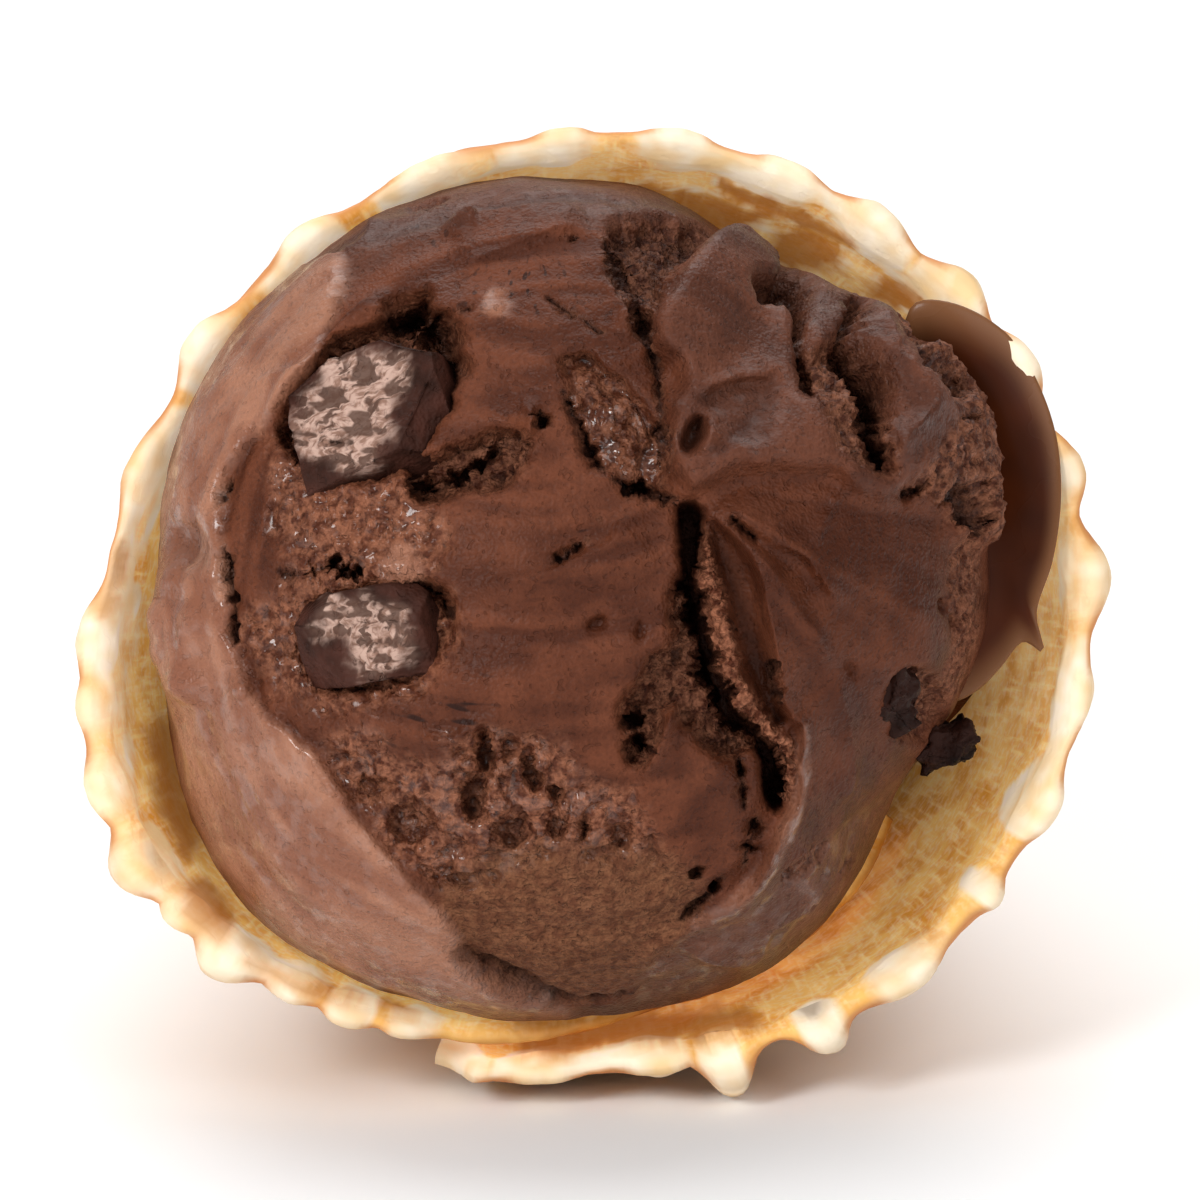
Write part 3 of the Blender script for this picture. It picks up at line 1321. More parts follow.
@dataclass
class WaffleCone:
    """The rolled waffle: one sheet of batter, ridged outside, with a puffed pale rim."""

    columns: int = 144
    rows: int = 84
    fine_from: float = 58.0
    rim_zone: float = 11.0
    finest_share: float = 0.62
    crest: float = 1.5
    across_cuts: int = 4
    tip_nub: float = 3.0
    corner_round: float = 5.0
    cream_depths: tuple[tuple[float, float, float], ...] = (
        (180.0, 40.0, 7.0),
        (125.0, 25.0, 3.0),
        (50.0, 30.0, 2.0),
        (-12.0, 14.0, 2.0),
        (-62.0, 30.0, -1.0),
    )
    cream_depth: float = -1.6
    knob_cream: float = 7.5
    lumps: Relief = Relief(1.0, 5.0, 3, 51)
    inner_grain: Relief = Relief(0.10, 2.6, 3, 52)
    edge_lumps: Relief = Relief(0.9, 3.0, 3, 53)
    patch_grain: Relief = Relief(1.0, 1.2, 3, 57)
    cream_edge: Relief = Relief(9.0, 5.0, 3, 58)
    blotches: Relief = Relief(1.0, 4.2, 3, 62)
    tip_lumps: Relief = Relief(0.25, 2.0, 2, 59)
    tip_tone: float = 0.3
    rough_height: float = 0.10
    streaks: tuple[float, float] = (0.62, 0.12)

    def grid(self) -> bmesh.types.BMesh:
        """Make the flat sheet: x is the turn, y the slant and z the side, each as a share."""
        bm = bmesh.new()
        bmesh.ops.create_grid(bm, x_segments=self.columns, y_segments=self.rows, size=0.5)
        lower = bm.faces[:]
        bmesh.ops.extrude_face_region(bm, geom=lower, use_keep_orig=True)
        low = {vert for face in lower for vert in face.verts}
        bmesh.ops.translate(bm, vec=(0.0, 0.0, 1.0), verts=[vert for vert in bm.verts if vert not in low])
        bmesh.ops.recalc_face_normals(bm, faces=bm.faces[:])
        span = ROLL.slant - ROLL.tip_slant
        fine = (self.fine_from - ROLL.tip_slant) / span - 0.5
        rim = 0.5 - self.rim_zone / span
        spots = coordinates(bm)
        outer = (spots[:, 2] > 0.5) & (spots[:, 1] > fine)
        split_edges(bm, outer | (spots[:, 1] > rim), most=4)
        spots = coordinates(bm)
        split_edges(bm, spots[:, 1] > 0.5 - self.finest_share * (0.5 - rim), most=4)
        upright = [
            edge
            for edge in bm.edges
            if abs(edge.verts[0].co.z - edge.verts[1].co.z) > 0.5 and min(v.co.y for v in edge.verts) > 0.4999
        ]
        bmesh.ops.subdivide_edges(bm, edges=upright, cuts=self.across_cuts, use_grid_fill=True)
        bmesh.ops.triangulate(bm, faces=[face for face in bm.faces if len(face.verts) > 4])
        return bm

    def ridges(self, slant: Array, turn: Array) -> Array:
        """Return the share of the ridges' height at each place of the sheet."""
        spread = np.radians(turn * math.sin(math.radians(ROLL.half_angle)))
        grain = math.radians(ROLL.grain)
        flat_x, flat_y = slant * np.cos(spread), slant * np.sin(spread)
        first = flat_x * math.cos(grain) + flat_y * math.sin(grain)
        second = flat_y * math.cos(grain) - flat_x * math.sin(grain)
        middle = ROLL.pitch / 2.0
        gaps = [np.abs((place + middle) % ROLL.pitch - middle) for place in (first, second)]
        top, foot = ROLL.ridge_half
        return 1.0 - smoothstep(top, foot, np.minimum(*gaps))

    def knob_share(self, turn: Array, back: Array) -> tuple[Array, Array]:
        """Return how far the batter's drops stand out, in millimetres, and their cover.

        Args:
            turn: The turn of each place round the roll.
            back: How far it lies back from the rim along the sheet.
        """
        stand, cover = np.zeros(len(turn)), np.zeros(len(turn))
        for knob in KNOBS:
            at = ROLL.outer_turn(knob.clock)
            slant = float(ROLL.rim_slant(np.array([at]))[0])
            plain = ROLL.place(np.array([slant]), np.array([at]), np.array([ROLL.sheet]))
            radius = float(np.linalg.norm(PHOTO.seen(plain)[0]))
            reach = max(0.5, knob.reach - radius)
            arc = np.radians(turn - at) * radius
            fade = np.exp(-np.maximum(back, 0.0) ** 2 / knob.length**2)
            shape = np.exp(-np.abs(arc / knob.width) ** 2.6) * fade
            stand = np.maximum(stand, reach * shape)
            cover = np.maximum(cover, shape)
        return stand, cover

    def lay_out(self, spots: Array) -> Sheet:
        """Find each vertex of the grid on the flat sheet, with its ridges, lumps and drops."""
        turn = (spots[:, 0] + 0.5) * ROLL.wrap
        rim = ROLL.rim_slant(turn)
        slant = ROLL.tip_slant + (spots[:, 1] + 0.5) * (rim - ROLL.tip_slant)
        back, side = rim - slant, spots[:, 2]
        flat = np.stack([slant, turn * 0.5, side], 1)
        stand, cover = self.knob_share(turn, back)
        shown = 1.0 - smoothstep(ROLL.overlap + 8.0, ROLL.overlap - 2.0, turn)
        ridges, lump = self.ridges(slant, turn), self.lumps.at(flat)
        return Sheet(turn, slant, back, side, flat, ridges, lump, stand, cover, shown)

    def puff(self, sheet: Sheet) -> tuple[Array, Array, Array]:
        """Raise the sheet's ridges, puff its rim and round its outer corner.

        Args:
            sheet: The flat sheet.

        Returns:
            Each vertex's slant, turn and height above the sheet's inner face.
        """
        back, side, cover, lump = sheet.back, sheet.side, sheet.cover, sheet.lump
        pressed = smoothstep(ROLL.overlap + 14.0, ROLL.overlap, sheet.turn)
        outside = sheet.ridges * ROLL.ridge * (1.0 - 0.7 * pressed) * smoothstep(0.0, 5.0, back)
        near = np.exp(-(back**2) / 14.0) * sheet.shown
        outer = ROLL.sheet + outside + near * (0.35 * lump - 0.15) + sheet.stand * sheet.shown + 0.12 * lump
        inner = -near * (0.06 + 0.25 * cover + 0.30 * lump) + 0.22 * (sheet.ridges - 0.4) * (1.0 - pressed)
        inner += self.inner_grain.at(sheet.flat)
        height = inner + (outer - inner) * side
        bow = np.sqrt(np.maximum(0.0, 1.0 - (2.0 * side - 1.0) ** 2))
        edge = smoothstep(0.6, 0.0, back)
        slant = sheet.slant + edge * bow * (self.crest + 0.9 * cover)
        slant -= 0.25 * sheet.stand * edge * (1.0 - bow)
        slant += edge * self.edge_lumps.at(sheet.flat) * bow
        corner = smoothstep(ROLL.wrap - 5.0, ROLL.wrap, sheet.turn)
        slant -= self.corner_round * corner**2 * smoothstep(25.0, 0.0, back)
        turn = sheet.turn + 2.2 * bow * smoothstep(ROLL.wrap - 1.5, ROLL.wrap, sheet.turn)
        return slant, turn, height

    def bake(self, sheet: Sheet, slant: Array, seen: Array) -> dict[str, Array]:
        """Work out how creamy, browned and toasted the batter is.

        Args:
            sheet: The flat sheet.
            slant: Each vertex's slant once the rim is puffed.
            seen: Where each vertex shows in the plane of the rim.

        Returns:
            The share of each tone at each vertex.
        """
        back, side, cover, lump = sheet.back, sheet.side, sheet.cover, sheet.lump
        clock = ROLL.clock(sheet.turn)
        grain = self.patch_grain.at(flat_places(seen))
        brown = np.max([patch.cover(seen, grain) for patch in BROWN_PATCHES], axis=0)
        brown *= (1.0 - side) * smoothstep(60.0, 80.0, slant)
        ringed = np.exp(-(((brown - 0.25) / 0.18) ** 2)) * smoothstep(70.0, 55.0, np.abs(clock - 45.0))
        ringed *= smoothstep(0.9, 0.5, side)
        band = self.cream_depth + self.cream_edge.at(sheet.flat) + self.knob_cream * cover
        for at, width, depth in self.cream_depths:
            band += depth * bell(clock, at, width)
        inner_cream = 1.0 - smoothstep(band - 0.5, band + 1.3, back)
        blotch = smoothstep(0.02, 0.22, self.blotches.at(sheet.flat)) * (1.0 - 0.75 * cover)
        inner_cream *= 1.0 - 0.85 * blotch
        outer_cream = smoothstep(2.6, 0.4, back - 1.4 * cover) * smoothstep(0.1, 0.7, cover + 0.9 * lump)
        cream = inner_cream + (0.75 * outer_cream - inner_cream) * smoothstep(0.55, 0.95, side)
        toast = smoothstep(0.42, 0.68, side) * smoothstep(0.95, 0.35, cover + 0.3 * lump)
        toast *= np.exp(-(back**2) / 9.0)
        return {
            "cream": np.maximum(cream * (1.0 - 0.85 * brown), 0.8 * ringed) * sheet.shown,
            "toast": toast * sheet.shown,
            "brown": brown,
            "ridges": sheet.ridges,
            "outside": side,
            "back": np.clip(back / 100.0, 0.0, 1.0),
        }

    def build(self) -> bpy.types.Object:
        """Roll the sheet up, with its ridges, its puffed rim and its closed tip."""
        bm = self.grid()
        sheet = self.lay_out(coordinates(bm))
        slant, turn, height = self.puff(sheet)
        points = ROLL.place(slant, turn, height)
        rough = [fractal(points, 1.6, octaves=2, seed=seed) for seed in (54, 55, 56)]
        points += self.rough_height * np.stack(rough, 1)
        paint = self.bake(sheet, slant, PHOTO.seen(points))
        paint.update(around=turn * self.streaks[0], along=slant * self.streaks[1])
        self.add_tip(bm)
        tip = coordinates(bm)[len(points) :]
        points = np.vstack([points, tip + self.tip_lumps.at(tip)[:, None]])
        baked = np.full(len(tip), self.tip_tone)
        paint = {label: np.append(values, baked) for label, values in paint.items()}
        return finish_mesh(to_mesh(bm, "waffle"), points, "waffle_cone_dressed", paint)

    def add_tip(self, bm: bmesh.types.BMesh) -> None:
        """Close the pointed end with a lump of baked batter."""
        level = ROLL.tip_slant * math.cos(math.radians(ROLL.half_angle))
        shape = Matrix.Translation((0.0, 0.0, level)) @ Matrix.Diagonal((1.0, 1.0, 1.4, 1.0))
        bmesh.ops.create_icosphere(bm, subdivisions=4, radius=self.tip_nub, matrix=shape)


@dataclass
class ChocolateChunk:
    """A broken chunk of chocolate with a flaky, frosted face."""

    node: str
    frost: Route = ()
    crumble: float = 0.0
    splits: int = 4
    bevel: float = 0.5
    longest_edge: float = 0.45
    flatness: float = 0.05
    flake_stretch: tuple[float, float, float] = (0.55, 1.9, 1.0)
    frost_grain: Relief = Relief(1.0, 1.3, 3, 71)
    flakes: Relief = Relief(1.0, 1.2, 3, 73)
    fine: Relief = Relief(0.06, 1.8, 2, 74)
    broad: Relief = Relief(0.45, 4.5, 2, 75)

    def packed_shape(self) -> bmesh.types.BMesh:
        """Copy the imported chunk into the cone's frame and round its edges."""
        bm = bmesh.new()
        bm.from_mesh(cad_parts[self.node].data)
        bmesh.ops.remove_doubles(bm, verts=bm.verts[:], dist=1e-6)
        back = POSE.matrix().inverted() @ Matrix.Translation(-Vector(POSE.apex))
        bmesh.ops.transform(bm, matrix=back @ Matrix.Scale(1.0 / MM, 4), verts=bm.verts[:])
        bmesh.ops.dissolve_limit(bm, angle_limit=self.flatness, verts=bm.verts[:], edges=bm.edges[:])
        bmesh.ops.bevel(
            bm, geom=bm.edges[:] + bm.verts[:], offset=self.bevel, segments=2, profile=0.5, affect="EDGES",
            material=-1, clamp_overlap=True,
        )
        bmesh.ops.triangulate(bm, faces=bm.faces[:])
        return bm

    def build(self) -> bpy.types.Object:
        """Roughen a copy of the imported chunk."""
        bm = self.packed_shape()
        for _ in range(self.splits):
            long_edges = [edge for edge in bm.edges if edge.calc_length() > self.longest_edge]
            bmesh.ops.subdivide_edges(bm, edges=long_edges, cuts=1)
            bmesh.ops.triangulate(bm, faces=[face for face in bm.faces if len(face.verts) > 3])
        points = coordinates(bm)
        normals = np.array([vert.normal[:] for vert in bm.verts])
        seen = PHOTO.seen(points)
        frost = np.zeros(len(points))
        if self.frost:
            grain = self.frost_grain.at(flat_places(seen))
            frost = Patch("frost", self.frost, soft=1.4, ragged=1.0).cover(seen, grain)
        flakes = points * np.array(self.flake_stretch)
        gap = cells(flakes, 1.1, seed=72)
        shade = self.flakes.at(flakes)
        rough = frost * (0.7 * (0.45 - gap) + 0.4 * shade) + self.fine.at(points)
        rough += self.broad.at(points)
        rough += self.crumble * (billow(points, 1.6, octaves=4, seed=76) - 0.35)
        paint = {"frost": frost, "flake": np.clip(0.5 + 0.8 * shade - 0.5 * gap, 0.0, 1.0)}
        points = points + normals * rough[:, None]
        return finish_mesh(to_mesh(bm, self.node), points, f"{self.node}_dressed", paint)


CHUNKS = (
    ChocolateChunk(
        "chocolate_chunk_upper",
        frost=(
            (325, 383), (331, 351), (356, 346), (392, 350), (404, 372), (392, 402), (382, 450), (362, 470),
            (298, 450), (287, 429), (306, 402),
        ),
    ),
    ChocolateChunk(
        "chocolate_chunk_lower",
        frost=((330, 600), (350, 602), (404, 608), (404, 660), (360, 676), (346, 640), (318, 640)),
    ),
    ChocolateChunk("chocolate_chunk_side", crumble=1.6),
    ChocolateChunk("fudge_crumb", crumble=1.6),
)


@dataclass
class MeltedPool:
    """Melted ice cream that fills the gap between the scoop and the wall."""

    name: str = "melted_pool"
    outline: Route = (
        (915, 303), (960, 306), (1008, 336), (1038, 385), (1056, 440), (1060, 500), (1052, 560),
        (1036, 612), (1043, 652), (1022, 642), (1000, 668), (975, 692), (945, 700), (915, 660),
        (925, 600), (940, 500), (930, 400), (905, 340),
    )
    level: float = 147.8
    thickness: float = 0.7
    fullness: float = 0.4
    sag: float = 0.8
    waves: Relief = Relief(0.10, 5.0, 2, 81)
    rings: int = 40
    segments: int = 180

    def build(self) -> bpy.types.Object:
        """Shape a flattened ball to the pool's outline."""
        edge = curve_through(PHOTO.plane(self.outline), closed=True, steps=10)
        middle = edge.mean(0)
        bm = bmesh.new()
        bmesh.ops.create_uvsphere(bm, u_segments=self.segments, v_segments=self.rings, radius=1.0)
        spots = coordinates(bm)
        reach, bearing = polar(edge - middle)
        order = np.argsort(bearing)
        ground, angle = polar(spots[:, :2])
        far = np.interp(angle, bearing[order], reach[order], period=2.0 * math.pi)
        flat = middle + np.stack([np.cos(angle), np.sin(angle)], 1) * (far * ground)[:, None]
        rise = np.sign(spots[:, 2]) * np.abs(spots[:, 2]) ** self.fullness * self.thickness
        sag = self.sag * smoothstep(33.5, 29.0, np.linalg.norm(flat, axis=1))
        level = self.level + rise - sag + self.waves.at(flat_places(flat))
        thin = smoothstep(0.75, 1.0, ground)
        return finish_mesh(to_mesh(bm, self.name), np.column_stack([flat, level]), self.name, {"thin": thin})


class Wiring:
    """A node tree with short calls that add and link its nodes."""

    def __init__(self, tree: bpy.types.NodeTree) -> None:
        """Take the tree to wire."""
        self.tree = tree

    def add(self, kind: str, **settings: object) -> bpy.types.Node:
        """Add a node and set its properties."""
        node = self.tree.nodes.new(kind)
        for name, value in settings.items():
            setattr(node, name, value)
        return node

    def feed(self, socket: bpy.types.NodeSocket, value: object) -> None:
        """Link an output to a socket, or set the socket to a plain value."""
        if isinstance(value, bpy.types.NodeSocket):
            self.tree.links.new(value, socket)
        else:
            socket.default_value = value

    def attribute(self, name: str) -> bpy.types.NodeSocket:
        """Read a vertex attribute."""
        return self.add("ShaderNodeAttribute", attribute_name=name).outputs["Fac"]

    def place(self, scale: Sequence[float] = (1.0, 1.0, 1.0)) -> bpy.types.NodeSocket:
        """Return the place on the object, in its own coordinates."""
        coords = self.add("ShaderNodeTexCoord").outputs["Object"]
        mapping = self.add("ShaderNodeMapping")
        self.feed(mapping.inputs["Vector"], coords)
        mapping.inputs["Scale"].default_value = scale
        return mapping.outputs["Vector"]

    def combine(self, *parts: object) -> bpy.types.NodeSocket:
        """Join values to a vector."""
        node = self.add("ShaderNodeCombineXYZ")
        for socket, part in zip(node.inputs, parts):
            self.feed(socket, part)
        return node.outputs[0]

    def math(self, operation: str, first: object, second: object = 0.0) -> bpy.types.NodeSocket:
        """Work out a value from two others."""
        node = self.add("ShaderNodeMath", operation=operation, use_clamp=operation in ("ADD", "SUBTRACT"))
        self.feed(node.inputs[0], first)
        self.feed(node.inputs[1], second)
        return node.outputs[0]

    def times(self, first: object, second: object) -> bpy.types.NodeSocket:
        """Multiply two values."""
        return self.math("MULTIPLY", first, second)

    def plus(self, first: object, second: object) -> bpy.types.NodeSocket:
        """Add two values."""
        return self.math("ADD", first, second)

    def spread(self, value: object, low: float, high: float, first: float = 0.0, last: float = 1.0):
        """Stretch a value's range from low..high to first..last."""
        node = self.add("ShaderNodeMapRange")
        for name, number in zip(("From Min", "From Max", "To Min", "To Max"), (low, high, first, last)):
            node.inputs[name].default_value = number
        self.feed(node.inputs["Value"], value)
        return node.outputs["Result"]

    def mix(self, share: object, first: object, second: object) -> bpy.types.NodeSocket:
        """Mix two colours."""
        node = self.add("ShaderNodeMix", data_type="RGBA", blend_type="MIX")
        self.feed(node.inputs[0], share)
        for socket, value in ((node.inputs[6], first), (node.inputs[7], second)):
            self.feed(socket, (*value, 1.0) if isinstance(value, tuple) else value)
        return node.outputs[2]

    def noise(
        self, place: object, scale: object, detail: float = 3.0, roughness: float = 0.5
    ) -> bpy.types.NodeSocket:
        """Add smooth noise with `scale` lumps a metre."""
        node = self.add("ShaderNodeTexNoise")
        for name, value in zip(("Vector", "Scale", "Detail", "Roughness"), (place, scale, detail, roughness)):
            self.feed(node.inputs[name], value)
        return node.outputs["Fac"]

    def group(self, tree: bpy.types.NodeTree, **values: object) -> bpy.types.Node:
        """Place a node group with its own values."""
        node = self.add("ShaderNodeGroup", node_tree=tree)
        for name, value in values.items():
            self.feed(node.inputs[name.replace("_", " ")], value)
        return node


def new_group(name: str, takes: dict[str, str], gives: dict[str, str]) -> tuple[Wiring, dict, dict]:
    """Start a shader node group.

    Args:
        name: The group's name.
        takes: Its inputs and their socket types.
        gives: Its outputs and their socket types.

    Returns:
        The wiring, the inputs inside the group and the sockets that take its results.
    """
    tree = bpy.data.node_groups.new(name, "ShaderNodeTree")
    for label, kind in takes.items():
        tree.interface.new_socket(label, in_out="INPUT", socket_type=kind)
    for label, kind in gives.items():
        tree.interface.new_socket(label, in_out="OUTPUT", socket_type=kind)
    wiring = Wiring(tree)
    inside = wiring.add("NodeGroupInput").outputs
    result = wiring.add("NodeGroupOutput").inputs
    return wiring, {label: inside[label] for label in takes}, {label: result[label] for label in gives}


def make_grain_group() -> bpy.types.NodeTree:
    """Build the fine grain that every food surface shares: soft lumps with small pores."""
    number = "NodeSocketFloat"
    wiring, takes, gives = new_group(
        "Fine grain",
        {"Place": "NodeSocketVector", "Size": number, "Pores": number},
        {"Height": number, "Mask": number},
    )
    lumps = wiring.noise(takes["Place"], takes["Size"], detail=1.0, roughness=0.7)
    pores = wiring.noise(takes["Place"], wiring.times(takes["Size"], 0.7), detail=1.0)
    hole = wiring.times(wiring.spread(pores, 0.32, 0.37, 1.0, 0.0), takes["Pores"])
    wiring.feed(gives["Mask"], hole)
    wiring.feed(gives["Height"], wiring.math("SUBTRACT", lumps, hole))
    return wiring.tree


def make_mottle_group() -> bpy.types.NodeTree:
    """Build the uneven share with which every food surface mixes two tones."""
    number = "NodeSocketFloat"
    wiring, takes, gives = new_group(
        "Mottle",
        {"Place": "NodeSocketVector", "Size": number, "Balance": number},
        {"Share": number, "Level": number},
    )
    lumps = wiring.noise(takes["Place"], takes["Size"], detail=2.0, roughness=0.7)
    wiring.feed(gives["Level"], lumps)
    wiring.feed(gives["Share"], wiring.spread(wiring.plus(lumps, takes["Balance"]), 0.38, 0.62))
    return wiring.tree


@dataclass(frozen=True)
class Groups:
    """The shared shader effects."""

    grain: bpy.types.NodeTree
    mottle: bpy.types.NodeTree


def new_material(name: str) -> tuple[bpy.types.Material, Wiring, bpy.types.Node]:
    """Start a material with a plain Principled shader."""
    made = bpy.data.materials.new(name)
    made.use_nodes = True
    shader = made.node_tree.nodes["Principled BSDF"]
    return made, Wiring(made.node_tree), shader


def add_bump(
    wiring: Wiring, shader: bpy.types.Node, height: object, strength: float, distance: float
) -> None:
    """Bump a shader's surface by a height, `distance` deep in metres."""
    bump = wiring.add("ShaderNodeBump")
    bump.inputs["Strength"].default_value = strength
    bump.inputs["Distance"].default_value = distance
    wiring.feed(bump.inputs["Height"], height)
    wiring.feed(shader.inputs["Normal"], bump.outputs["Normal"])


@dataclass(frozen=True)
class IceCreamFinish:
    """Chocolate ice cream: satin where scooped, wet where melted, dull where torn."""

    groups: Groups
    smooth_light: tuple = linear(97, 52, 33)
    smooth_dark: tuple = linear(72, 35, 20)
    torn_light: tuple = linear(152, 97, 71)
    torn_dark: tuple = linear(74, 34, 18)
    melt_light: tuple = linear(156, 108, 85)
    melt_dark: tuple = linear(130, 83, 63)
    grey: tuple = linear(84, 56, 46)
    sandy_light: tuple = linear(118, 76, 52)
    sandy_dark: tuple = linear(92, 54, 36)
    deep: tuple = linear(30, 12, 7)
    roughness: float = 0.46

    def colour(self, wiring: Wiring, broad: object, small: object, grain: object) -> bpy.types.NodeSocket:
        """Mix the tones of each kind of surface, with dark pores and specks.

        Args:
            wiring: The material's tree.
            broad: The share of the lighter tone, in broad lumps.
            small: The same in small lumps.
            grain: The height of the fine grain.
        """
        drawn = wiring.combine(wiring.attribute("run"), wiring.attribute("across"))
        pores = wiring.group(self.groups.grain, Place=drawn, Size=1.6, Pores=1.0)
        holes = wiring.times(pores.outputs["Mask"], wiring.attribute("pores"))
        melt = wiring.attribute("melt")
        colour = wiring.mix(broad, self.smooth_dark, self.smooth_light)
        colour = wiring.mix(wiring.times(wiring.attribute("grey"), 0.75), colour, self.grey)
        torn = wiring.mix(small, self.torn_dark, self.torn_light)
        colour = wiring.mix(wiring.attribute("torn"), colour, torn)
        sandy = wiring.mix(small, self.sandy_dark, self.sandy_light)
        colour = wiring.mix(wiring.attribute("sandy"), colour, sandy)
        melted = wiring.mix(broad, self.melt_dark, self.melt_light)
        colour = wiring.mix(wiring.times(melt, 0.92), colour, melted)
        deepest = wiring.math("MAXIMUM", wiring.attribute("deep"), holes)
        colour = wiring.mix(wiring.times(deepest, 0.85), colour, self.deep)
        speck = wiring.spread(grain, 0.25, 0.6, 0.24, 0.0)
        return wiring.mix(wiring.times(speck, wiring.spread(melt, 0.0, 1.0, 1.0, 0.4)), colour, self.deep)

    def material(self) -> bpy.types.Material:
        """Build the material from the painted shares."""
        made, wiring, shader = new_material("chocolate ice cream")
        place = wiring.place()
        torn, melt, sandy = (wiring.attribute(name) for name in ("torn", "melt", "sandy"))
        balance = wiring.times(wiring.attribute("flow"), 0.2)
        mottle = wiring.group(self.groups.mottle, Place=place, Size=150.0, Balance=balance).outputs
        small = wiring.group(self.groups.mottle, Place=place, Size=1200.0).outputs["Share"]
        grain = wiring.group(self.groups.grain, Place=place, Size=2600.0, Pores=0.4).outputs["Height"]
        wiring.feed(shader.inputs["Base Color"], self.colour(wiring, mottle["Share"], small, grain))
        dull = wiring.plus(wiring.times(sandy, 0.3), wiring.times(torn, 0.15))
        gloss = wiring.plus(wiring.math("SUBTRACT", self.roughness, wiring.times(melt, 0.16)), dull)
        patchy = wiring.spread(mottle["Level"], 0.35, 0.7, -0.08, 0.12)
        wiring.feed(shader.inputs["Roughness"], wiring.plus(gloss, patchy))
        glint = wiring.spread(wiring.noise(place, 800.0, 1.0), 0.5, 0.62, 0.12, 0.9)
        wiring.feed(shader.inputs["Coat Weight"], wiring.times(wiring.attribute("wet"), glint))
        wiring.feed(shader.inputs["Coat Roughness"], 0.12)
        wiring.feed(shader.inputs["Specular IOR Level"], 0.11)
        amount = wiring.plus(wiring.times(wiring.math("MAXIMUM", torn, sandy), 0.6), 0.36)
        height = wiring.plus(wiring.times(grain, amount), 0.4)
        add_bump(wiring, shader, height, strength=0.9, distance=0.0005)
        return made


@dataclass(frozen=True)
class WaffleFinish:
    """Baked waffle: pale cream at the rim, golden inside, browned where the iron pressed."""

    groups: Groups
    cream_light: tuple = linear(240, 224, 198)
    cream_dark: tuple = linear(232, 198, 146)
    gold_light: tuple = linear(236, 186, 104)
    gold_dark: tuple = linear(210, 142, 54)
    gold_pale: tuple = linear(244, 204, 136)
    brown: tuple = linear(166, 100, 42)
    ridge: tuple = linear(176, 112, 52)
    toasted: tuple = linear(200, 132, 76)
    glow: float = 0.58

    def colour(self, wiring: Wiring, place: object, uneven: object, inside: object) -> bpy.types.NodeSocket:
        """Mix the batter's tones.

        Args:
            wiring: The material's tree.
            place: The place on the object.
            uneven: The share of the lighter tone.
            inside: One on the cone's inner face and zero on its outside.
        """
        outside = wiring.attribute("outside")
        gold = wiring.mix(uneven, self.gold_dark, self.gold_light)
        pale = wiring.mix(uneven, self.cream_dark, self.cream_light)
        ridges = wiring.times(wiring.times(wiring.attribute("ridges"), outside), 0.7)
        colour = wiring.mix(ridges, gold, self.ridge)
        drawn = wiring.combine(wiring.attribute("around"), wiring.attribute("along"), outside)
        streak = wiring.spread(wiring.noise(drawn, 1.3, 3.0), 0.5, 0.68, 0.0, 0.8)
        colour = wiring.mix(wiring.times(streak, inside), colour, self.gold_pale)
        flecks = wiring.spread(wiring.noise(place, 1900.0, 1.0), 0.45, 0.66, 0.0, 0.24)
        colour = wiring.mix(wiring.times(flecks, inside), colour, self.cream_light)
        colour = wiring.mix(wiring.times(wiring.attribute("brown"), 0.85), colour, self.brown)
        colour = wiring.mix(wiring.attribute("cream"), colour, pale)
        return wiring.mix(wiring.attribute("toast"), colour, self.toasted)

    def material(self) -> bpy.types.Material:
        """Build the material from the painted shares."""
        made, wiring, shader = new_material("baked waffle")
        place = wiring.place()
        uneven = wiring.group(self.groups.mottle, Place=place, Size=200.0, Balance=0.03).outputs["Share"]
        inside = wiring.spread(wiring.attribute("outside"), 0.0, 0.6, 1.0, 0.0)
        colour = self.colour(wiring, place, uneven, inside)
        wiring.feed(shader.inputs["Base Color"], colour)
        near = wiring.spread(wiring.attribute("back"), 0.0, 0.4, 1.0, 0.0)
        thick = wiring.spread(wiring.attribute("cream"), 0.0, 1.0, 1.0, 0.8)
        lit = wiring.times(wiring.times(near, inside), thick)
        wiring.feed(shader.inputs["Emission Color"], wiring.mix(lit, (0.0, 0.0, 0.0), colour))
        wiring.feed(shader.inputs["Emission Strength"], self.glow)
        wiring.feed(shader.inputs["Roughness"], wiring.spread(uneven, 0.0, 1.0, 0.52, 0.68))
        wiring.feed(shader.inputs["Specular IOR Level"], 0.3)
        grain = wiring.group(self.groups.grain, Place=place, Size=1100.0, Pores=0.6)
        add_bump(wiring, shader, grain.outputs["Height"], strength=0.25, distance=0.0002)
        return made


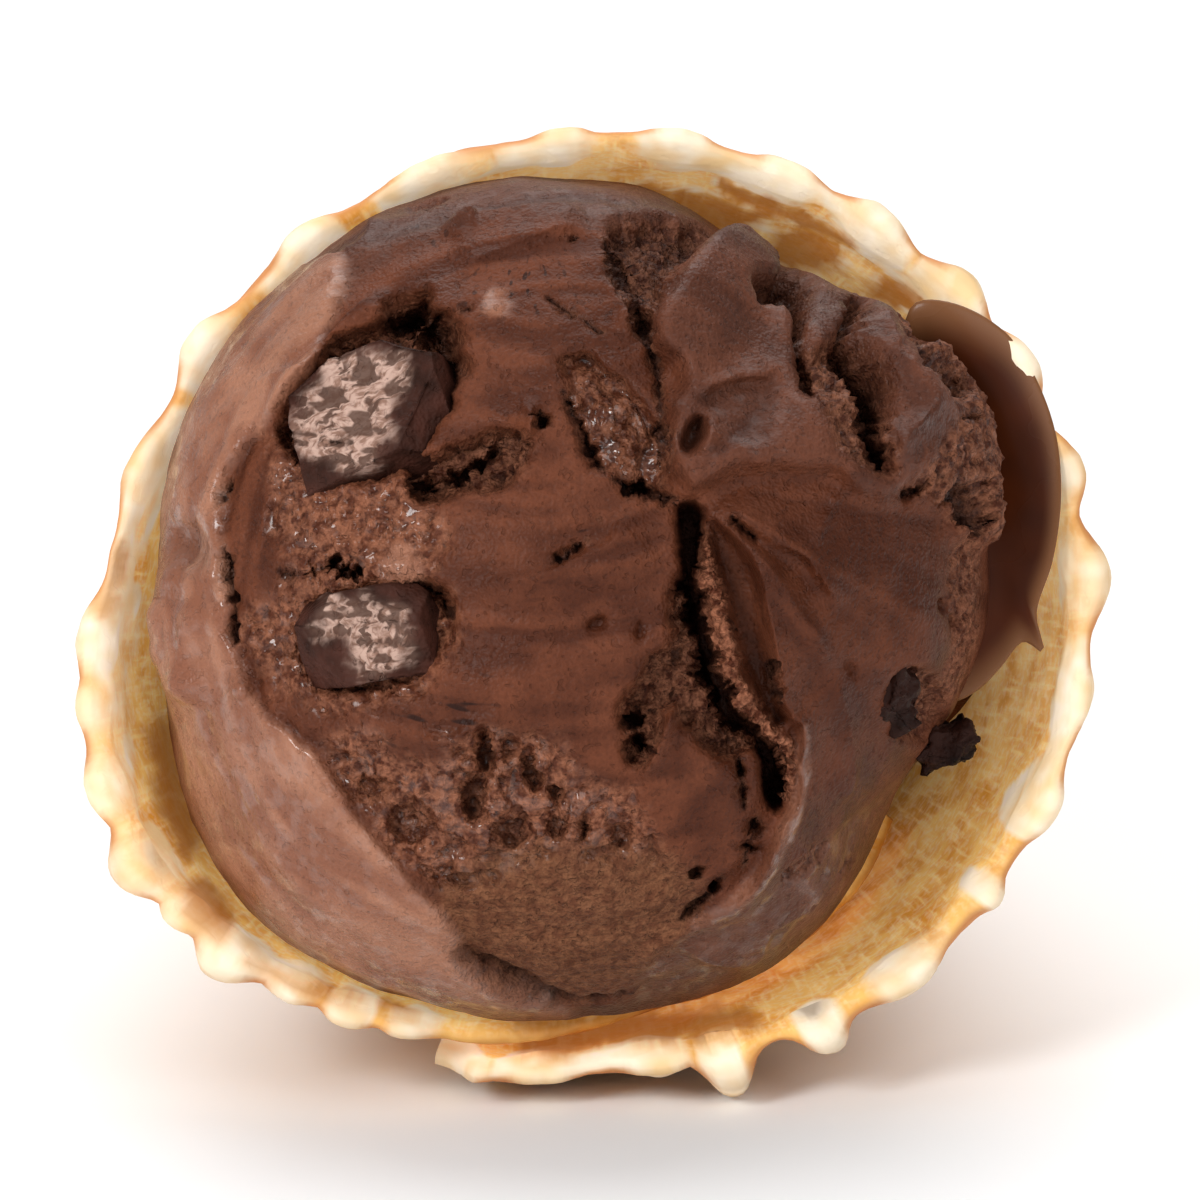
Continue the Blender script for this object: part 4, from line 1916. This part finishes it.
@dataclass(frozen=True)
class ChocolateFinish:
    """Dark chocolate with flaky, frosted faces."""

    groups: Groups
    name: str = "chunk chocolate"
    dark: tuple = linear(66, 37, 29)
    darker: tuple = linear(42, 23, 17)
    frost_light: tuple = linear(180, 150, 136)
    frost_middle: tuple = linear(132, 101, 87)
    frost_dark: tuple = linear(74, 52, 43)

    def material(self) -> bpy.types.Material:
        """Build the material from the painted shares."""
        made, wiring, shader = new_material(self.name)
        place = wiring.place()
        frost, flake = wiring.attribute("frost"), wiring.attribute("flake")
        uneven = wiring.group(self.groups.mottle, Place=place, Size=300.0).outputs["Share"]
        dark = wiring.mix(uneven, self.darker, self.dark)
        streaks = wiring.spread(wiring.noise(wiring.place((1.0, 3.2, 1.4)), 1150.0, 5.0), 0.40, 0.58)
        gaps = wiring.spread(wiring.noise(wiring.place((1.0, 2.8, 1.2)), 620.0, 5.0), 0.40, 0.46, 1.0, 0.0)
        flaky = wiring.mix(streaks, self.frost_middle, self.frost_light)
        split = wiring.math("MAXIMUM", gaps, wiring.spread(flake, 0.1, 0.2, 1.0, 0.0))
        flaky = wiring.mix(wiring.times(split, 0.85), flaky, self.frost_dark)
        wiring.feed(shader.inputs["Base Color"], wiring.mix(frost, dark, flaky))
        wiring.feed(shader.inputs["Roughness"], wiring.spread(frost, 0.0, 1.0, 0.5, 0.85))
        wiring.feed(shader.inputs["Specular IOR Level"], 0.07)
        grain = wiring.group(self.groups.grain, Place=place, Size=1900.0, Pores=0.5)
        add_bump(wiring, shader, grain.outputs["Height"], strength=0.8, distance=0.00025)
        return made


FUDGE = linear(46, 25, 19)
DARK_FUDGE = linear(24, 12, 9)


@dataclass(frozen=True)
class PoolFinish:
    """Melted ice cream: a dark, wet gloss that pales where it runs thin."""

    groups: Groups
    thick: tuple = linear(72, 30, 9)
    dark: tuple = linear(54, 22, 8)
    thin: tuple = linear(116, 76, 48)

    def material(self) -> bpy.types.Material:
        """Build the material from the painted share."""
        made, wiring, shader = new_material("melted ice cream")
        place = wiring.place()
        uneven = wiring.group(self.groups.mottle, Place=place, Size=110.0).outputs["Share"]
        body = wiring.mix(uneven, self.dark, self.thick)
        wiring.feed(shader.inputs["Base Color"], wiring.mix(wiring.attribute("thin"), body, self.thin))
        wet = wiring.spread(wiring.noise(place, 90.0), 0.3, 0.7, 0.22, 0.34)
        wiring.feed(shader.inputs["Roughness"], wet)
        wiring.feed(shader.inputs["Specular IOR Level"], 0.14)
        return made


@dataclass(frozen=True)
class Softbox:
    """An area light that faces a place of the cone's frame."""

    name: str
    place: tuple[float, float, float]
    size: float
    power: float
    target: tuple[float, float, float] = (0.0, 0.0, 145.0)

    def build(self) -> None:
        """Hang the light."""
        data = bpy.data.lights.new(self.name, "AREA")
        data.shape = "DISK"
        data.size = self.size
        data.energy = self.power
        made = link(self.name, data)
        spot, aim = (Vector(POSE.to_world(np.array([place]))[0]) for place in (self.place, self.target))
        made.location = spot
        made.rotation_euler = (aim - spot).to_track_quat("-Z", "Y").to_euler()


@dataclass
class Studio:
    """A pale floor, soft light and the camera that looks down the cone's axis."""

    floor_side: float = 12.0
    floor_tones: tuple[float, float] = (0.90, 0.93)
    floor_roughness: float = 0.85
    sky: float = 0.36
    offset: tuple[float, float] = (0.22, 0.58)
    sensor: float = 36.0
    clip: tuple[float, float] = (0.01, 30.0)
    lights: tuple[Softbox, ...] = (
        Softbox("key", (-300.0, 160.0, 620.0), 0.20, 2.2),
        Softbox("fill", (280.0, 220.0, 660.0), 0.40, 1.2),
        Softbox("top", (0.0, 1500.0, -200.0), 2.0, 24.0),
    )

    def build(self) -> None:
        """Make the floor, the light and the camera."""
        self.add_floor()
        self.add_sky()
        for light in self.lights:
            light.build()
        self.add_camera()

    def add_floor(self) -> None:
        """Lay the floor that the cone rests on."""
        bm = bmesh.new()
        bmesh.ops.create_grid(bm, x_segments=8, y_segments=8, size=self.floor_side / 2.0)
        floor = link("floor", to_mesh(bm, "floor"))
        paper, wiring, shader = new_material("pale floor")
        dark, light = ((tone, tone, tone) for tone in self.floor_tones)
        wiring.feed(shader.inputs["Base Color"], wiring.mix(wiring.noise(wiring.place(), 9.0), dark, light))
        wiring.feed(shader.inputs["Roughness"], self.floor_roughness)
        floor.data.materials.append(paper)

    def add_sky(self) -> None:
        """Light everything evenly from all round."""
        world = bpy.data.worlds.new("studio")
        world.use_nodes = True
        background = world.node_tree.nodes["Background"]
        background.inputs["Color"].default_value = (1.0, 1.0, 1.0, 1.0)
        background.inputs["Strength"].default_value = self.sky
        bpy.context.scene.world = world
        bpy.context.scene.view_settings.view_transform = "Standard"

    def add_camera(self) -> None:
        """Look down the axis from where the photograph was taken."""
        data = bpy.data.cameras.new("camera")
        data.sensor_width = self.sensor
        data.lens = self.sensor * PHOTO.distance / (PHOTO.side * PHOTO.scale)
        data.clip_start, data.clip_end = self.clip
        camera = link("camera", data)
        spot = np.array([[*self.offset, PHOTO.rim_level + PHOTO.distance]])
        camera.matrix_world = Matrix.Translation(Vector(POSE.to_world(spot)[0])) @ POSE.matrix()
        bpy.context.scene.camera = camera


class Finish(Enum):
    """The finishes and the record's slots that they belong to."""

    WAFFLE = "waffle"
    ICE_CREAM = "ice_cream"
    CHOCOLATE = "chocolate"
    FUDGE = "fudge"
    MELTED = "melted"


def dress(made: bpy.types.Object, material: bpy.types.Material, slot: str, *nodes: str) -> None:
    """Finish a piece and set it on the frame.

    Args:
        made: The piece.
        material: Its material.
        slot: The record's material slot.
        nodes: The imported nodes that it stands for.
    """
    made.data.materials.clear()
    made.data.materials.append(material)
    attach(made, "root")
    if nodes:
        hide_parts(*nodes)
    LOG.info("%s: %d faces", made.name, len(made.data.polygons))


def main() -> None:
    """Build the dressed cone round its frame."""
    logging.basicConfig(level=logging.INFO)
    Studio().build()
    groups = Groups(make_grain_group(), make_mottle_group())
    finishes = {
        Finish.WAFFLE: WaffleFinish(groups).material(),
        Finish.ICE_CREAM: IceCreamFinish(groups).material(),
        Finish.CHOCOLATE: ChocolateFinish(groups).material(),
        Finish.FUDGE: ChocolateFinish(groups, "fudge scrap", FUDGE, DARK_FUDGE).material(),
        Finish.MELTED: PoolFinish(groups).material(),
    }
    dress(WaffleCone().build(), finishes[Finish.WAFFLE], "waffle", "waffle_cone")
    dress(IceCream().build(), finishes[Finish.ICE_CREAM], "ice_cream", "ice_cream_scoop")
    for chunk in CHUNKS:
        kind = Finish.CHOCOLATE if chunk.frost else Finish.FUDGE
        dress(chunk.build(), finishes[kind], "chocolate", chunk.node)
    dress(MeltedPool().build(), finishes[Finish.MELTED], "ice_cream", "ice_cream_scoop")


if __name__ == "__main__":
    main()
